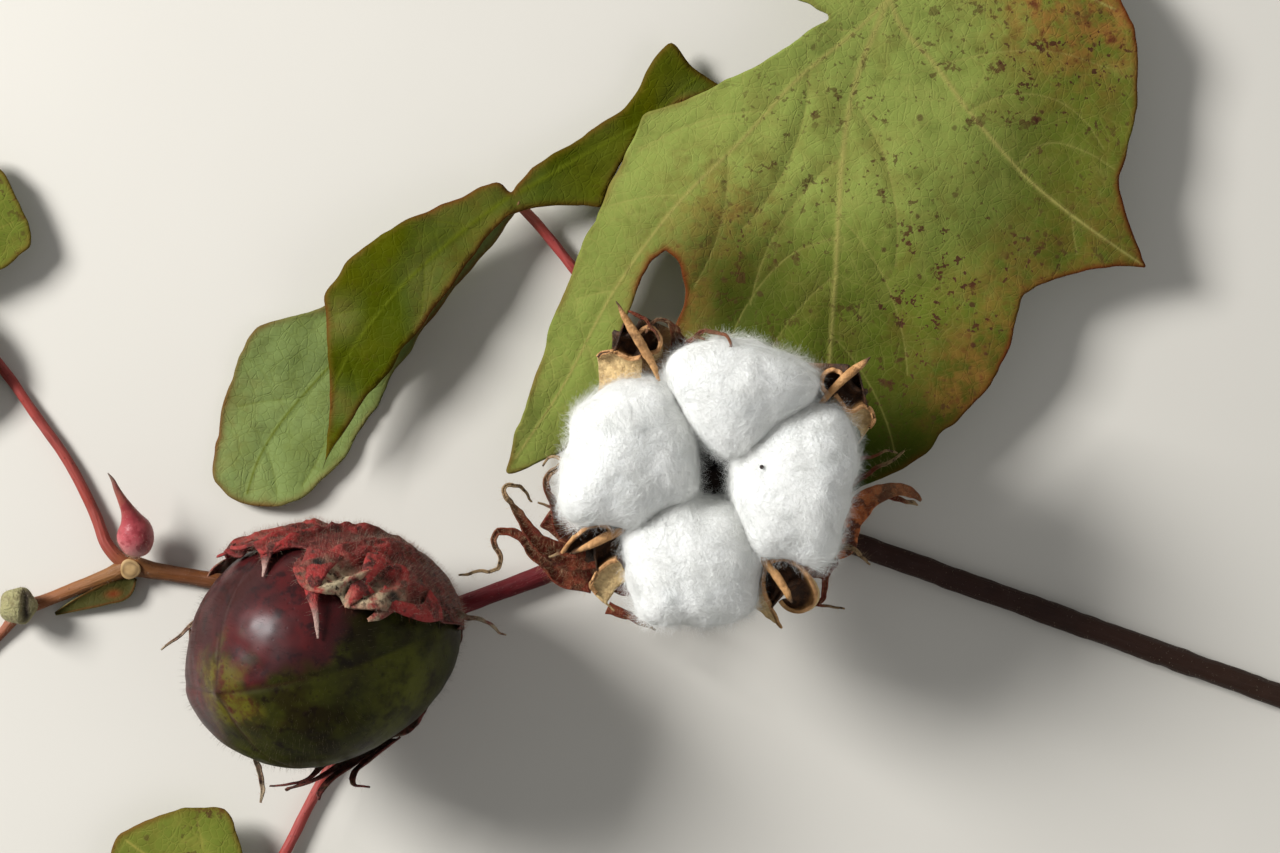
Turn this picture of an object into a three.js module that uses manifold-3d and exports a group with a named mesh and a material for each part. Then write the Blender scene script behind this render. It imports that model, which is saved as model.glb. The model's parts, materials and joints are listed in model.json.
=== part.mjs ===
// A cut fruiting branch of a cotton plant, lying on a level surface: a zigzag branch with an open boll of
// white lint, a closed boll still wrapped in its bracts, four palmate leaves on long stalks and two small buds.
// Millimetres, +Z up, the surface at Z = 0. The open boll faces up, and the branch runs from its cut foot at +X
// to its tip at -X. Places are measured from a point on the surface under the middle of the branch, and the
// last lines shift the whole branch so that the origin is at the bottom centre of its bounding box.

import * as THREE from "three";
import Module from "manifold-3d";
import { mergeVertices } from "three/addons/utils/BufferGeometryUtils.js";

const wasm = await Module();
wasm.setup();

// Driving dimensions of the branch, in millimetres.
const GAP = 0.3; // clearance between neighbouring pieces
const CUT_FOOT = [123.6, -51.9]; // middle of the flat cut at the foot of the branch
const NODE_1 = [18.8, -14.3]; // where the open boll and two leaf stalks leave
const NODE_2 = [-39.8, -36.1]; // where the closed boll and the lower leaf's stalk leave
const NODE_3 = [-96.5, -26.6]; // where the left leaf's stalk and the young bud leave
const NODE_4 = [-117.4, -34.8]; // where the withered bud sits
const BRANCH_END = [-126.9, -45.7];
const BRANCH_RADII = [2.3, 2.1, 1.75, 1.5, 1.1, 0.5]; // from the foot to the tip, one for each point above
const KNEE_SWELL = 1.3; // how much thicker the branch is at a node
const STALK_RADIUS = 1.2; // of a leaf's stalk
const STALK_SHARES = [1.25, 1, 0.9, 0.9, 1]; // of that radius, from the branch to the blade

// The open boll.
const OPEN_BASE = [13, -6.5, 16]; // top of its stalk
const OPEN_TILT = 10; // degrees that it leans towards -Y
const LOCK_ANGLES = { top: 70, left: 160, bottom: 254, right: -7 }; // degrees round the boll
const LOCK_RING = 15.8; // distance of a lock's middle from the boll's axis
const LOCK_HALF = [12.6, 15.2, 15.5]; // outwards, round the boll, upwards
const LOCK_MIDDLE_Z = 20;
const LOCK_TAPER = 0.3; // how much narrower a lock is at its foot
// Each valve of the burr: its angle, the inner end and tip of its spike from the axis, and the tip's height.
const VALVES = {
  upper_left: { angle: 117.5, inner: 20, tip: 36.5, height: 27 },
  upper_right: { angle: 37, inner: 20.5, tip: 36, height: 27 },
  lower_right: { angle: -55, inner: 15, tip: 27, height: 29 },
  lower_left: { angle: 205, inner: 17, tip: 30, height: 28 },
};
const VALVE_THICKNESS = 1.2;
const VALVE_HALF_WIDTH = 9;
const SPIKE_RADIUS = 1.1;
const OPEN_BRACTS = { lower_left: 203, right: -16, top: 98 }; // degrees round the boll
const OPEN_BRACT_LENGTH = 33;

// The closed boll.
const CLOSED_MIDDLE = [-56, -39.7, 29.9];
const CLOSED_AXIS = [-0.68, -0.27, 0.68]; // towards its tip
const CLOSED_RADIUS = 22.2;
const CLOSED_HALF_LENGTH = 26;
const CLOSED_TAPER = 0.09; // how much narrower it is towards its foot, and wider towards its tip
const CLOSED_BEAK = 1.8; // how far the tip stands out
const CLOSED_GROOVE = 0.9; // depth of its four seams
const CLOSED_SPIN = 18; // degrees round the boll from its frame's X axis to a seam
// Each bract's middle, in degrees round the boll, and the reach of its teeth over the boll from its foot.
const CLOSED_BRACTS = {
  upper: { angle: 75, reach: 122 },
  lower: { angle: -45, reach: 106 },
  back: { angle: 195, reach: 106 },
};
const BRACT_THICKNESS = 0.9;
const CLOSED_BRACT_LIFT = 2; // of the bract's middle surface off the boll

// The leaves.
const BIG_LEAF_THICKNESS = 1.5;
const SMALL_LEAF_THICKNESS = 1.2;
const LEAF_MESH_STEP = 9; // spacing of a blade's mesh

const COLOURS = {
  branch: 0x8a4a34,
  stalk: 0xb5564f,
  leaf: 0x6f8a3a,
  lint: 0xf2f1ec,
  burr: 0xb98850,
  driedBract: 0x7a3424,
  closedBoll: 0x5c2c38,
  bract: 0x8f3a3c,
  bud: 0xa03a4a,
};

const material = (color, roughness) => new THREE.MeshStandardMaterial({ color, roughness, metalness: 0 });
const BARK = material(COLOURS.branch, 0.7);
const STALK = material(COLOURS.stalk, 0.6);
const LEAF = material(COLOURS.leaf, 0.6);
const LINT = material(COLOURS.lint, 1);
const BURR = material(COLOURS.burr, 0.8);
const DRIED_BRACT = material(COLOURS.driedBract, 0.9);
const CLOSED_BOLL = material(COLOURS.closedBoll, 0.4);
const BRACT = material(COLOURS.bract, 0.9);
const BUD = material(COLOURS.bud, 0.6);

const plant = new THREE.Group();
const point = (x, y, z = 0) => new THREE.Vector3(x, y, z);
const radians = THREE.MathUtils.degToRad;
const mix = THREE.MathUtils.lerp;

function addPiece(name, geometry, finish) {
  geometry.computeVertexNormals();
  const piece = new THREE.Mesh(geometry, finish);
  piece.name = name;
  plant.add(piece);
  return piece;
}

// A frame whose Z axis is the given direction, with its X axis as near to +X as that leaves.
function frameAt(origin, direction) {
  const axis = direction.clone().normalize();
  const across = point(1, 0, 0).addScaledVector(axis, -axis.x).normalize();
  return new THREE.Matrix4().makeBasis(across, axis.clone().cross(across), axis).setPosition(origin);
}

function geometryOf(points, faces) {
  const geometry = new THREE.BufferGeometry().setFromPoints(points);
  geometry.setIndex(faces.flat());
  return geometry;
}

function solidOf(geometry) {
  const bare = geometry.clone();
  bare.deleteAttribute("normal");
  bare.deleteAttribute("uv");
  const merged = mergeVertices(bare, 1e-4);
  const mesh = new wasm.Mesh({
    numProp: 3,
    vertProperties: new Float32Array(merged.attributes.position.array),
    triVerts: new Uint32Array(merged.index.array),
  });
  return new wasm.Manifold(mesh);
}

// The largest body of a solid, as a geometry: a cut can leave a loose scrap.
function geometryOfSolid(solid) {
  const bodies = solid.decompose().sort((a, b) => b.volume() - a.volume());
  const mesh = bodies[0].getMesh();
  const geometry = new THREE.BufferGeometry();
  geometry.setAttribute("position", new THREE.BufferAttribute(new Float32Array(mesh.vertProperties), 3));
  geometry.setIndex(new THREE.BufferAttribute(new Uint32Array(mesh.triVerts), 1));
  return geometry;
}

// A closed sheet of the given thickness about an open one.
function thicken(points, faces, thickness) {
  const normals = points.map(() => point(0, 0, 0));
  const owners = new Map();
  for (const [a, b, c] of faces) {
    const normal = points[b].clone().sub(points[a]).cross(points[c].clone().sub(points[a]));
    for (const corner of [a, b, c]) normals[corner].add(normal);
    for (const [from, to] of [[a, b], [b, c], [c, a]]) owners.set(`${from}_${to}`, [from, to]);
  }
  for (const normal of normals) normal.normalize();
  const side = (sign) => points.map((p, i) => p.clone().addScaledVector(normals[i], (sign * thickness) / 2));
  const count = points.length;
  const closed = faces.map((face) => [...face]);
  for (const [a, b, c] of faces) closed.push([a + count, c + count, b + count]);
  for (const [from, to] of owners.values()) {
    if (owners.has(`${to}_${from}`)) continue;
    closed.push([to, from, from + count], [to, from + count, to + count]);
  }
  return geometryOf([...side(1), ...side(-1)], closed);
}

// A tapered limb with flat ends along a smooth curve; one radius for each point.
function limb(points, radii, sides = 8, steps = 4 * (points.length - 1)) {
  const curve = new THREE.CatmullRomCurve3(points, false, "centripetal");
  const frames = curve.computeFrenetFrames(steps, false);
  const rings = [];
  for (let i = 0; i <= steps; i += 1) {
    const middle = curve.getPointAt(i / steps);
    const along = (i / steps) * (radii.length - 1);
    const low = Math.min(Math.floor(along), radii.length - 2);
    const radius = mix(radii[low], radii[low + 1], along - low);
    for (let k = 0; k < sides; k += 1) {
      const turn = (k / sides) * 2 * Math.PI;
      const out = frames.normals[i].clone().multiplyScalar(Math.cos(turn) * radius);
      rings.push(middle.clone().add(out).addScaledVector(frames.binormals[i], Math.sin(turn) * radius));
    }
  }
  const ends = [curve.getPointAt(0), curve.getPointAt(1)];
  const faces = [];
  const last = steps * sides;
  const foot = rings.length;
  for (let k = 0; k < sides; k += 1) {
    const next = (k + 1) % sides;
    for (let i = 0; i < steps; i += 1) {
      const [a, b] = [i * sides + k, i * sides + next];
      faces.push([a, b, a + sides], [b, b + sides, a + sides]);
    }
    faces.push([foot, next, k], [foot + 1, last + k, last + next]);
  }
  return geometryOf([...rings, ...ends], faces);
}

// A closed skin on a sphere's grid. surface(turn, rise) gives a point, with rise 0 at the foot, 1 at the top.
function roundBody(surface, turns, rises) {
  const points = [surface(0, 0)];
  for (let j = 1; j < rises; j += 1) {
    for (let i = 0; i < turns; i += 1) points.push(surface(i / turns, j / rises));
  }
  points.push(surface(0, 1));
  const at = (i, j) => 1 + (j - 1) * turns + (i % turns);
  const top = points.length - 1;
  const faces = [];
  for (let i = 0; i < turns; i += 1) {
    faces.push([0, at(i + 1, 1), at(i, 1)], [top, at(i, rises - 1), at(i + 1, rises - 1)]);
    for (let j = 1; j < rises - 1; j += 1) {
      faces.push([at(i, j), at(i + 1, j), at(i, j + 1)], [at(i + 1, j), at(i + 1, j + 1), at(i, j + 1)]);
    }
  }
  return geometryOf(points, faces);
}

// A sheet that fans out from its foot to a toothed edge. place(bearing, reach) gives a point of the sheet.
function toothedFan({ halfAngle, teeth, notch, reachAt, place, thickness, rows = 4 }) {
  const spokes = 2 * teeth;
  const points = [];
  for (let j = 0; j <= rows; j += 1) {
    for (let i = 0; i <= spokes; i += 1) {
      const across = (2 * i) / spokes - 1;
      const tooth = i % 2 === 1 ? 1 : notch;
      points.push(place(across * halfAngle, (j / rows) * tooth * reachAt(across)));
    }
  }
  const faces = [];
  const wide = spokes + 1;
  for (let j = 0; j < rows; j += 1) {
    for (let i = 0; i < spokes; i += 1) {
      const [a, b] = [j * wide + i, (j + 1) * wide + i];
      faces.push([a, b, a + 1], [a + 1, b, b + 1]);
    }
  }
  return thicken(points, faces, thickness);
}

// The branch, from its cut foot to its tip. Each stretch between two nodes is straight and lies on the surface.
function addBranch() {
  const nodes = [CUT_FOOT, NODE_1, NODE_2, NODE_3, NODE_4, BRANCH_END];
  const names = ["branch_foot", "branch_middle", "branch_outer", "branch_upper", "branch_tip"];
  const heading = (from, to) => Math.atan2(to[1] - from[1], to[0] - from[0]);
  const headings = names.map((_, i) => heading(nodes[i], nodes[i + 1]));
  // How far a stretch stops short of a node, so that the corners inside the bend keep their gap.
  const shortBy = (i, radius) => {
    if (i === 0 || i === names.length) return 0;
    const turn = Math.abs(headings[i] - headings[i - 1]);
    return radius * Math.tan(Math.min(turn, 2 * Math.PI - turn) / 2) + GAP / 2 + 0.03;
  };
  names.forEach((name, i) => {
    const [thick, thin] = [BRANCH_RADII[i], BRANCH_RADII[i + 1]];
    const startSwell = i === 0 ? 1 : KNEE_SWELL;
    const endSwell = i === names.length - 1 ? 1 : KNEE_SWELL;
    const start = point(...nodes[i], thick * startSwell);
    const end = point(...nodes[i + 1], thin * endSwell);
    const along = end.clone().sub(start).normalize();
    start.addScaledVector(along, shortBy(i, thick * startSwell));
    end.addScaledVector(along, -shortBy(i + 1, thin * endSwell));
    const at = (share, radius) => start.clone().lerp(end, share).setZ(radius);
    const shares = [0, 0.06, 0.35, 0.65, 0.94, 1];
    const radii = shares.map((share) => mix(thick, thin, share));
    radii[0] *= startSwell;
    radii[radii.length - 1] *= endSwell;
    const points = shares.map((share, k) => (k === 0 ? start : k === 5 ? end : at(share, radii[k])));
    addPiece(name, polylineLimb(points, radii, 10), BARK);
  });
}

// A straight-jointed limb with a ring at each given point, ends flat and square to it.
function polylineLimb(points, radii, sides) {
  const along = points[points.length - 1].clone().sub(points[0]).normalize();
  const side = point(0, 0, 1).addScaledVector(along, -along.z).normalize();
  const other = along.clone().cross(side);
  const rings = [];
  points.forEach((middle, i) => {
    for (let k = 0; k < sides; k += 1) {
      const turn = (k / sides) * 2 * Math.PI;
      const out = side.clone().multiplyScalar(-Math.cos(turn) * radii[i]);
      rings.push(middle.clone().add(out).addScaledVector(other, -Math.sin(turn) * radii[i]));
    }
  });
  const faces = [];
  const last = (points.length - 1) * sides;
  for (let k = 0; k < sides; k += 1) {
    const next = (k + 1) % sides;
    for (let i = 0; i < points.length - 1; i += 1) {
      const [a, b] = [i * sides + k, i * sides + next];
      faces.push([a, b, a + sides], [b, b + sides, a + sides]);
    }
    if (k > 0 && k < sides - 1) faces.push([0, next, k], [last, last + k, last + next]);
  }
  return geometryOf(rings, faces);
}

// The open boll stands in its own frame, with Z up its axis and the top of its stalk at Z = 0.
const openFrame = new THREE.Matrix4()
  .makeRotationX(radians(OPEN_TILT))
  .setPosition(point(...OPEN_BASE));
const roundAxis = (distance, degrees, height) =>
  point(distance * Math.cos(radians(degrees)), distance * Math.sin(radians(degrees)), height);

function valveSolid({ angle, inner, tip, height }) {
  const steps = 8;
  const acrossSteps = 6;
  const points = [];
  for (let i = 0; i <= steps; i += 1) {
    const share = i / steps;
    const distance = mix(3.9, tip - 5, Math.pow(share, 0.85));
    const rise = 0.9 + (height - 3) * Math.pow(share, 1.7);
    const fullness = Math.sin(Math.PI * Math.pow(share, 0.9) * 0.94) * (1 - 0.55 * share ** 6);
    const half = mix(2.3, VALVE_HALF_WIDTH, fullness);
    for (let k = 0; k <= acrossSteps; k += 1) {
      const across = (2 * k) / acrossSteps - 1;
      const turn = (across * half) / (distance + 1);
      const curl = across * across * share;
      points.push(roundAxis(distance + 1.6 * curl, angle + THREE.MathUtils.radToDeg(turn), rise - 1.8 * curl));
    }
  }
  const faces = [];
  for (let i = 0; i < steps; i += 1) {
    for (let k = 0; k < acrossSteps; k += 1) {
      const a = i * (acrossSteps + 1) + k;
      const b = a + acrossSteps + 1;
      faces.push([a, b, a + 1], [a + 1, b, b + 1]);
    }
  }
  const sheet = solidOf(thicken(points, faces, VALVE_THICKNESS));
  const spikePoints = [
    roundAxis(inner, angle, height - 2.5),
    roundAxis(mix(inner, tip, 0.45), angle, height - 0.8),
    roundAxis(tip, angle, height),
  ];
  const spikeRadii = [0.55, 1, 1, 0.75, 0.3].map((share) => share * SPIKE_RADIUS);
  const spike = solidOf(limb(spikePoints, spikeRadii, 6, 6));
  return sheet.add(spike);
}

// A solid grown by about the given distance on every side, to cut a clearance with.
function grown(solid, distance) {
  const steps = [-1, 1].flatMap((sign) => [[sign, 0, 0], [0, sign, 0], [0, 0, sign]]);
  return steps.reduce((sum, step) => sum.add(solid.translate(step.map((part) => part * distance))), solid);
}

// A lock of lint: a pillow that keeps to its own quarter of the boll.
function lockGeometry(angle, planes) {
  const exponent = 2.4;
  const swell = (value) => Math.sign(value) * Math.abs(value) ** (2 / exponent);
  const surface = (turn, rise) => {
    const around = turn * 2 * Math.PI;
    const up = (rise - 0.5) * Math.PI;
    const level = swell(Math.sin(up));
    const waist = 1 - LOCK_TAPER * (0.5 - 0.5 * level) ** 2;
    const out = LOCK_RING + LOCK_HALF[0] * swell(Math.cos(up)) * swell(Math.cos(around)) * waist;
    const across = LOCK_HALF[1] * swell(Math.cos(up)) * swell(Math.sin(around)) * waist;
    const place = roundAxis(out, 0, LOCK_MIDDLE_Z + LOCK_HALF[2] * level);
    place.y = across;
    place.applyMatrix4(new THREE.Matrix4().makeRotationZ(radians(angle)));
    for (const normal of planes) {
      const over = place.dot(normal) + 0.9;
      if (over > 0) place.addScaledVector(normal, -over);
    }
    return place;
  };
  return roundBody(surface, 20, 12);
}

function addOpenBoll() {
  const top = 2 * BRANCH_RADII[1] * KNEE_SWELL + GAP;
  const stalkPoints = [
    point(NODE_1[0], NODE_1[1], top + 0.1),
    point(NODE_1[0] - 0.3, NODE_1[1] + 0.3, top + 2),
    point(0, 0, -4.5).applyMatrix4(openFrame),
    point(0, 0, -0.2).applyMatrix4(openFrame),
  ];
  addPiece("open_boll_stalk", limb(stalkPoints, [1.7, 1.6, 1.7, 1.9, 2.5, 3.4], 8, 10), STALK);

  const clearance = [];
  for (const [name, valve] of Object.entries(VALVES)) {
    const solid = valveSolid(valve);
    addPiece(`burr_valve_${name}`, geometryOfSolid(solid), BURR).applyMatrix4(openFrame);
    clearance.push(grown(solid, 2 * GAP));
  }

  const valveAngles = Object.values(VALVES).map((valve) => valve.angle);
  for (const [name, angle] of Object.entries(LOCK_ANGLES)) {
    const turned = valveAngles.map((other) => THREE.MathUtils.euclideanModulo(other - angle + 180, 360) - 180);
    const ahead = Math.min(...turned.filter((turn) => turn > 0));
    const behind = Math.max(...turned.filter((turn) => turn < 0));
    const planes = [roundAxis(1, angle + ahead + 90, 0), roundAxis(1, angle + behind - 90, 0)];
    let lint = solidOf(lockGeometry(angle, planes));
    for (const solid of clearance) lint = lint.subtract(solid);
    const piece = addPiece(`lint_lock_${name}`, geometryOfSolid(lint), LINT);
    piece.applyMatrix4(openFrame);
  }

  for (const [name, angle] of Object.entries(OPEN_BRACTS)) {
    const place = (bearing, reach) => {
      const out = 3.2 + reach * Math.cos(radians(bearing)) * 0.93;
      const across = reach * Math.sin(radians(bearing));
      const rise = -2.6 + 5.5 * (reach / OPEN_BRACT_LENGTH) ** 2.2;
      return point(out, across, rise).applyMatrix4(new THREE.Matrix4().makeRotationZ(radians(angle)));
    };
    const reachAt = (across) => OPEN_BRACT_LENGTH * (1 - 0.32 * across * across);
    const fan = { halfAngle: 46, teeth: 5, notch: 0.66, reachAt, place, thickness: BRACT_THICKNESS };
    addPiece(`open_bract_${name}`, toothedFan(fan), DRIED_BRACT).applyMatrix4(openFrame);
  }
}

// The closed boll stands in its own frame too, with its middle at the frame's origin.
const closedFrame = frameAt(point(...CLOSED_MIDDLE), point(...CLOSED_AXIS));

// A point on the closed boll, or that far outside it. over is 0 degrees at its foot and 180 at its tip.
function onClosedBoll(around, over, outside = 0) {
  const ripple = Math.cos(radians(4 * (around - CLOSED_SPIN)));
  const fade = Math.sin(radians(over)) ** 2;
  const girth = CLOSED_RADIUS * (1 - CLOSED_TAPER * Math.cos(radians(over)));
  const radius = girth - CLOSED_GROOVE * (0.5 + 0.5 * ripple) * fade;
  const beak = CLOSED_BEAK * Math.max(0, 1 - (180 - over) / 24) ** 1.5;
  const out = (radius + outside) * Math.sin(radians(over));
  return roundAxis(out, around, -(CLOSED_HALF_LENGTH + outside) * Math.cos(radians(over)) + beak);
}

function addClosedBoll() {
  const body = roundBody((turn, rise) => onClosedBoll(turn * 360, rise * 180), 24, 16);
  addPiece("closed_boll", body, CLOSED_BOLL).applyMatrix4(closedFrame);

  const foot = point(0, 0, -CLOSED_HALF_LENGTH).applyMatrix4(closedFrame);
  const axis = point(...CLOSED_AXIS).normalize();
  const top = 2 * BRANCH_RADII[2] * KNEE_SWELL + GAP;
  const stalk = [
    point(NODE_2[0] + 2, NODE_2[1] + 0.8, top + 0.1),
    point(NODE_2[0] + 2.7, NODE_2[1] + 1.6, top + 1.8),
    foot.clone().addScaledVector(axis, -2.8),
    foot.clone().addScaledVector(axis, -GAP - 0.1),
  ];
  addPiece("closed_boll_stalk", limb(stalk, [1.5, 1.5, 1.6, 2.4], 8, 7), STALK);

  const firstRing = 14; // degrees over the boll, which leaves room for its stalk
  for (const [name, { angle, reach: longest }] of Object.entries(CLOSED_BRACTS)) {
    const place = (bearing, reach) => onClosedBoll(angle + bearing, firstRing + reach, CLOSED_BRACT_LIFT);
    const reachAt = (across) => (longest - firstRing) * (1 - 0.25 * across * across);
    const fan = { halfAngle: 56, teeth: 5, notch: 0.74, reachAt, place, thickness: BRACT_THICKNESS, rows: 9 };
    addPiece(`closed_bract_${name}`, toothedFan(fan), BRACT).applyMatrix4(closedFrame);
  }
}

// A leaf's outline: anchors [x, y, bow] from the junction of its veins. The edge from an anchor to the next
// bows out by that share of its length.
function leafShape(anchors) {
  const shape = new THREE.Shape();
  shape.moveTo(anchors[0][0], anchors[0][1]);
  anchors.forEach(([x, y, bow], i) => {
    const [nextX, nextY] = anchors[(i + 1) % anchors.length];
    const control = [(x + nextX) / 2 + 2 * bow * (nextY - y), (y + nextY) / 2 - 2 * bow * (nextX - x)];
    shape.quadraticCurveTo(...control, nextX, nextY);
  });
  return shape;
}

// A blade: a bent slab, cut to the leaf's outline. height(x, y) is its middle surface above the ground.
function leafBlade(anchors, height, thickness) {
  const cutter = { depth: 60, bevelEnabled: false, curveSegments: 4 };
  const outline = solidOf(new THREE.ExtrudeGeometry(leafShape(anchors), cutter));
  const xs = anchors.map((anchor) => anchor[0]);
  const ys = anchors.map((anchor) => anchor[1]);
  const margin = 6;
  const [west, east] = [Math.min(...xs) - margin, Math.max(...xs) + margin];
  const [south, north] = [Math.min(...ys) - margin, Math.max(...ys) + margin];
  const columns = Math.ceil((east - west) / LEAF_MESH_STEP);
  const rows = Math.ceil((north - south) / LEAF_MESH_STEP);
  const points = [];
  for (let j = 0; j <= rows; j += 1) {
    for (let i = 0; i <= columns; i += 1) {
      const [x, y] = [mix(west, east, i / columns), mix(south, north, j / rows)];
      points.push(point(x, y, Math.max(height(x, y), thickness * 0.62)));
    }
  }
  const faces = [];
  for (let j = 0; j < rows; j += 1) {
    for (let i = 0; i < columns; i += 1) {
      const a = j * (columns + 1) + i;
      const b = a + columns + 1;
      faces.push([a, a + 1, b], [a + 1, b + 1, b]);
    }
  }
  return solidOf(thicken(points, faces, thickness)).intersect(outline);
}

// The big leaf behind the open boll: basal left lobe, left lobe, middle lobe, right lobe, basal right lobe.
const BIG_JUNCTION = [46.6, 79.1, 13];
const BIG_OUTLINE = [
  [1.5, 4, 0], [-3, 11, 0.12], [-17, 17, 0.15], [-26, 9, 0.08], [-10.8, -2.6, -0.05], [-45.7, -20.1, 0.025],
  [-72.2, -88.2, 0.06], [-54.6, -79.6, -0.04], [-44.7, -48.3, 0.1], [-41.9, -45.3, 0.1], [-39.1, -47.3, -0.08],
  [-40.4, -62.6, 0], [-36.6, -75.1, 0.02], [-11.7, -92.9, 0.06], [8.8, -82.6, -0.05], [9.6, -80.6, 0.12],
  [24.3, -54.5, -0.09], [48.8, -49.7, -0.05], [42.6, -32.5, 0.06],
  [46.7, -14.3, 0.08], [43.1, 0.6, 0.1], [32, 15, 0.12], [14, 17, 0.12],
];
function bigLeafHeight(x, y) {
  const far = Math.hypot(x, y);
  const towardsBase = Math.max(0, y);
  const leftBend = Math.max(0, -x - 30 - 0.35 * Math.max(0, -y - 30));
  const wave = 0.9 * Math.sin(0.16 * x + 1.2) * Math.sin(0.13 * y) * Math.min(1, far / 40);
  return BIG_JUNCTION[2] - 5 * (far / 100) ** 1.2 - 0.3 * towardsBase - 0.06 * leftBend + wave;
}

// The second leaf: one lobe down the left, one up the right, and a lower lobe under the first.
const SECOND_JUNCTION = [-24, 44.3, 8.8];
const SECOND_UPPER_OUTLINE = [
  [0, 3.5, 0], [3.4, 5.6, 0.03], [23.1, 18.2, -0.06], [30, 28.5, 0.1], [40.4, 20, 0.15],
  [17, -3.2, 0.05], [0, -4, -0.03],
  [-23.8, -34.7, 0.04], [-35.8, -53, 0.04], [-35.2, -19.1, 0.12], [-31.3, -14.1, -0.04],
];
const SECOND_LOWER_OUTLINE = [
  [1, 2, 0], [-24, -10, 0.03], [-48.7, -25.3, 0.06], [-57.4, -53.4, 0.12], [-49.1, -59.6, 0.04],
  [-39.7, -58.1, 0.05], [-26, -40, -0.03], [3, -4, 0],
];
function secondUpperHeight(x, y) {
  const arch = 3.2 * Math.sin(Math.min(1, Math.hypot(x, y) / 62) * Math.PI);
  return SECOND_JUNCTION[2] + (x < 0 ? arch : -0.15 * x);
}
const secondLowerHeight = (x, y) => SECOND_JUNCTION[2] - 6.6 * Math.min(1, Math.hypot(x, y) / 46) ** 0.8;

// A smaller leaf off the far end of a stalk: five even lobes about its own axis.
// Each lobe's bearing from the leaf's axis in degrees, and its share of the leaf's length.
const SMALL_LEAF_LOBES = [[-104, 0.5], [-52, 0.84], [0, 1], [52, 0.84], [104, 0.5]];
const SMALL_LEAF_SINUS = 0.5; // depth of the bays between lobes, as a share of the length
const SMALL_LEAVES = {
  left: { junction: [-137, 27, 7.5], axis: 166, length: 56 },
  lower: { junction: [-76, -97, 7.5], axis: 243, length: 60 },
};
function smallLeafOutline({ axis, length }) {
  const spot = (bearing, share, bow) => {
    const turn = radians(axis + bearing);
    return [share * length * Math.cos(turn), share * length * Math.sin(turn), bow];
  };
  const anchors = [spot(180, 0.07, 0.1), spot(-148, 0.42, 0.08)];
  SMALL_LEAF_LOBES.forEach(([bearing, share], i) => {
    anchors.push(spot(bearing, share, 0.13));
    if (i === SMALL_LEAF_LOBES.length - 1) return;
    anchors.push(spot(bearing + 27, SMALL_LEAF_SINUS * (0.55 + 0.45 * share), 0.13));
  });
  anchors.push(spot(148, 0.42, 0.1));
  return anchors;
}
const smallLeafHeight = (leaf) => (x, y) => {
  const far = Math.hypot(x, y) / leaf.length;
  const turn = Math.atan2(y, x) - radians(leaf.axis);
  return leaf.junction[2] - 6 * far ** 1.4 + 1.3 * far * Math.sin(3.5 * turn) ** 2;
};

function addLeaf(name, junction, blade, stalkPoints) {
  const geometry = geometryOfSolid(blade).translate(junction[0], junction[1], 0);
  addPiece(`${name}_blade`, geometry, LEAF);
  const radii = STALK_SHARES.map((share) => share * STALK_RADIUS);
  addPiece(`${name}_stalk`, limb(stalkPoints, radii, 7), STALK);
}

function addLeaves() {
  addLeaf(
    "big_leaf",
    BIG_JUNCTION,
    leafBlade(BIG_OUTLINE, bigLeafHeight, BIG_LEAF_THICKNESS),
    [
      point(NODE_1[0] + 0.8, NODE_1[1] + 3, 1.9),
      point(28, 12, 1.3),
      point(38, 46, 2.4),
      point(BIG_JUNCTION[0] - 2, BIG_JUNCTION[1] - 6, BIG_JUNCTION[2] - 4.8),
      point(BIG_JUNCTION[0], BIG_JUNCTION[1] - 0.5, BIG_JUNCTION[2] - 3),
    ],
  );
  const upper = leafBlade(SECOND_UPPER_OUTLINE, secondUpperHeight, SMALL_LEAF_THICKNESS);
  const lower = leafBlade(SECOND_LOWER_OUTLINE, secondLowerHeight, SMALL_LEAF_THICKNESS);
  addLeaf("second_leaf", SECOND_JUNCTION, upper.add(lower), [
    point(NODE_1[0] - 3, NODE_1[1] + 2.1, 1.9),
    point(2, 9, 1.3),
    point(-12.3, 29.6, 1.8),
    point(SECOND_JUNCTION[0] + 1.5, SECOND_JUNCTION[1] - 2.5, 5.9),
  ]);
  addLeaf(
    "left_leaf",
    SMALL_LEAVES.left.junction,
    leafBlade(smallLeafOutline(SMALL_LEAVES.left), smallLeafHeight(SMALL_LEAVES.left), SMALL_LEAF_THICKNESS),
    [point(-98.5, -24.9, 1.8), point(-106.8, -6.3, 1.3), point(-119.5, 10.5, 1.4), point(-135.6, 25.6, 5.3)],
  );
  addLeaf(
    "lower_leaf",
    SMALL_LEAVES.lower.junction,
    leafBlade(smallLeafOutline(SMALL_LEAVES.lower), smallLeafHeight(SMALL_LEAVES.lower), SMALL_LEAF_THICKNESS),
    [point(-41.65, -38.5, 1.8), point(-59.5, -65.8, 1.3), point(-67.4, -80.9, 1.8), point(-75.4, -95.4, 5.3)],
  );
}

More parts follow.
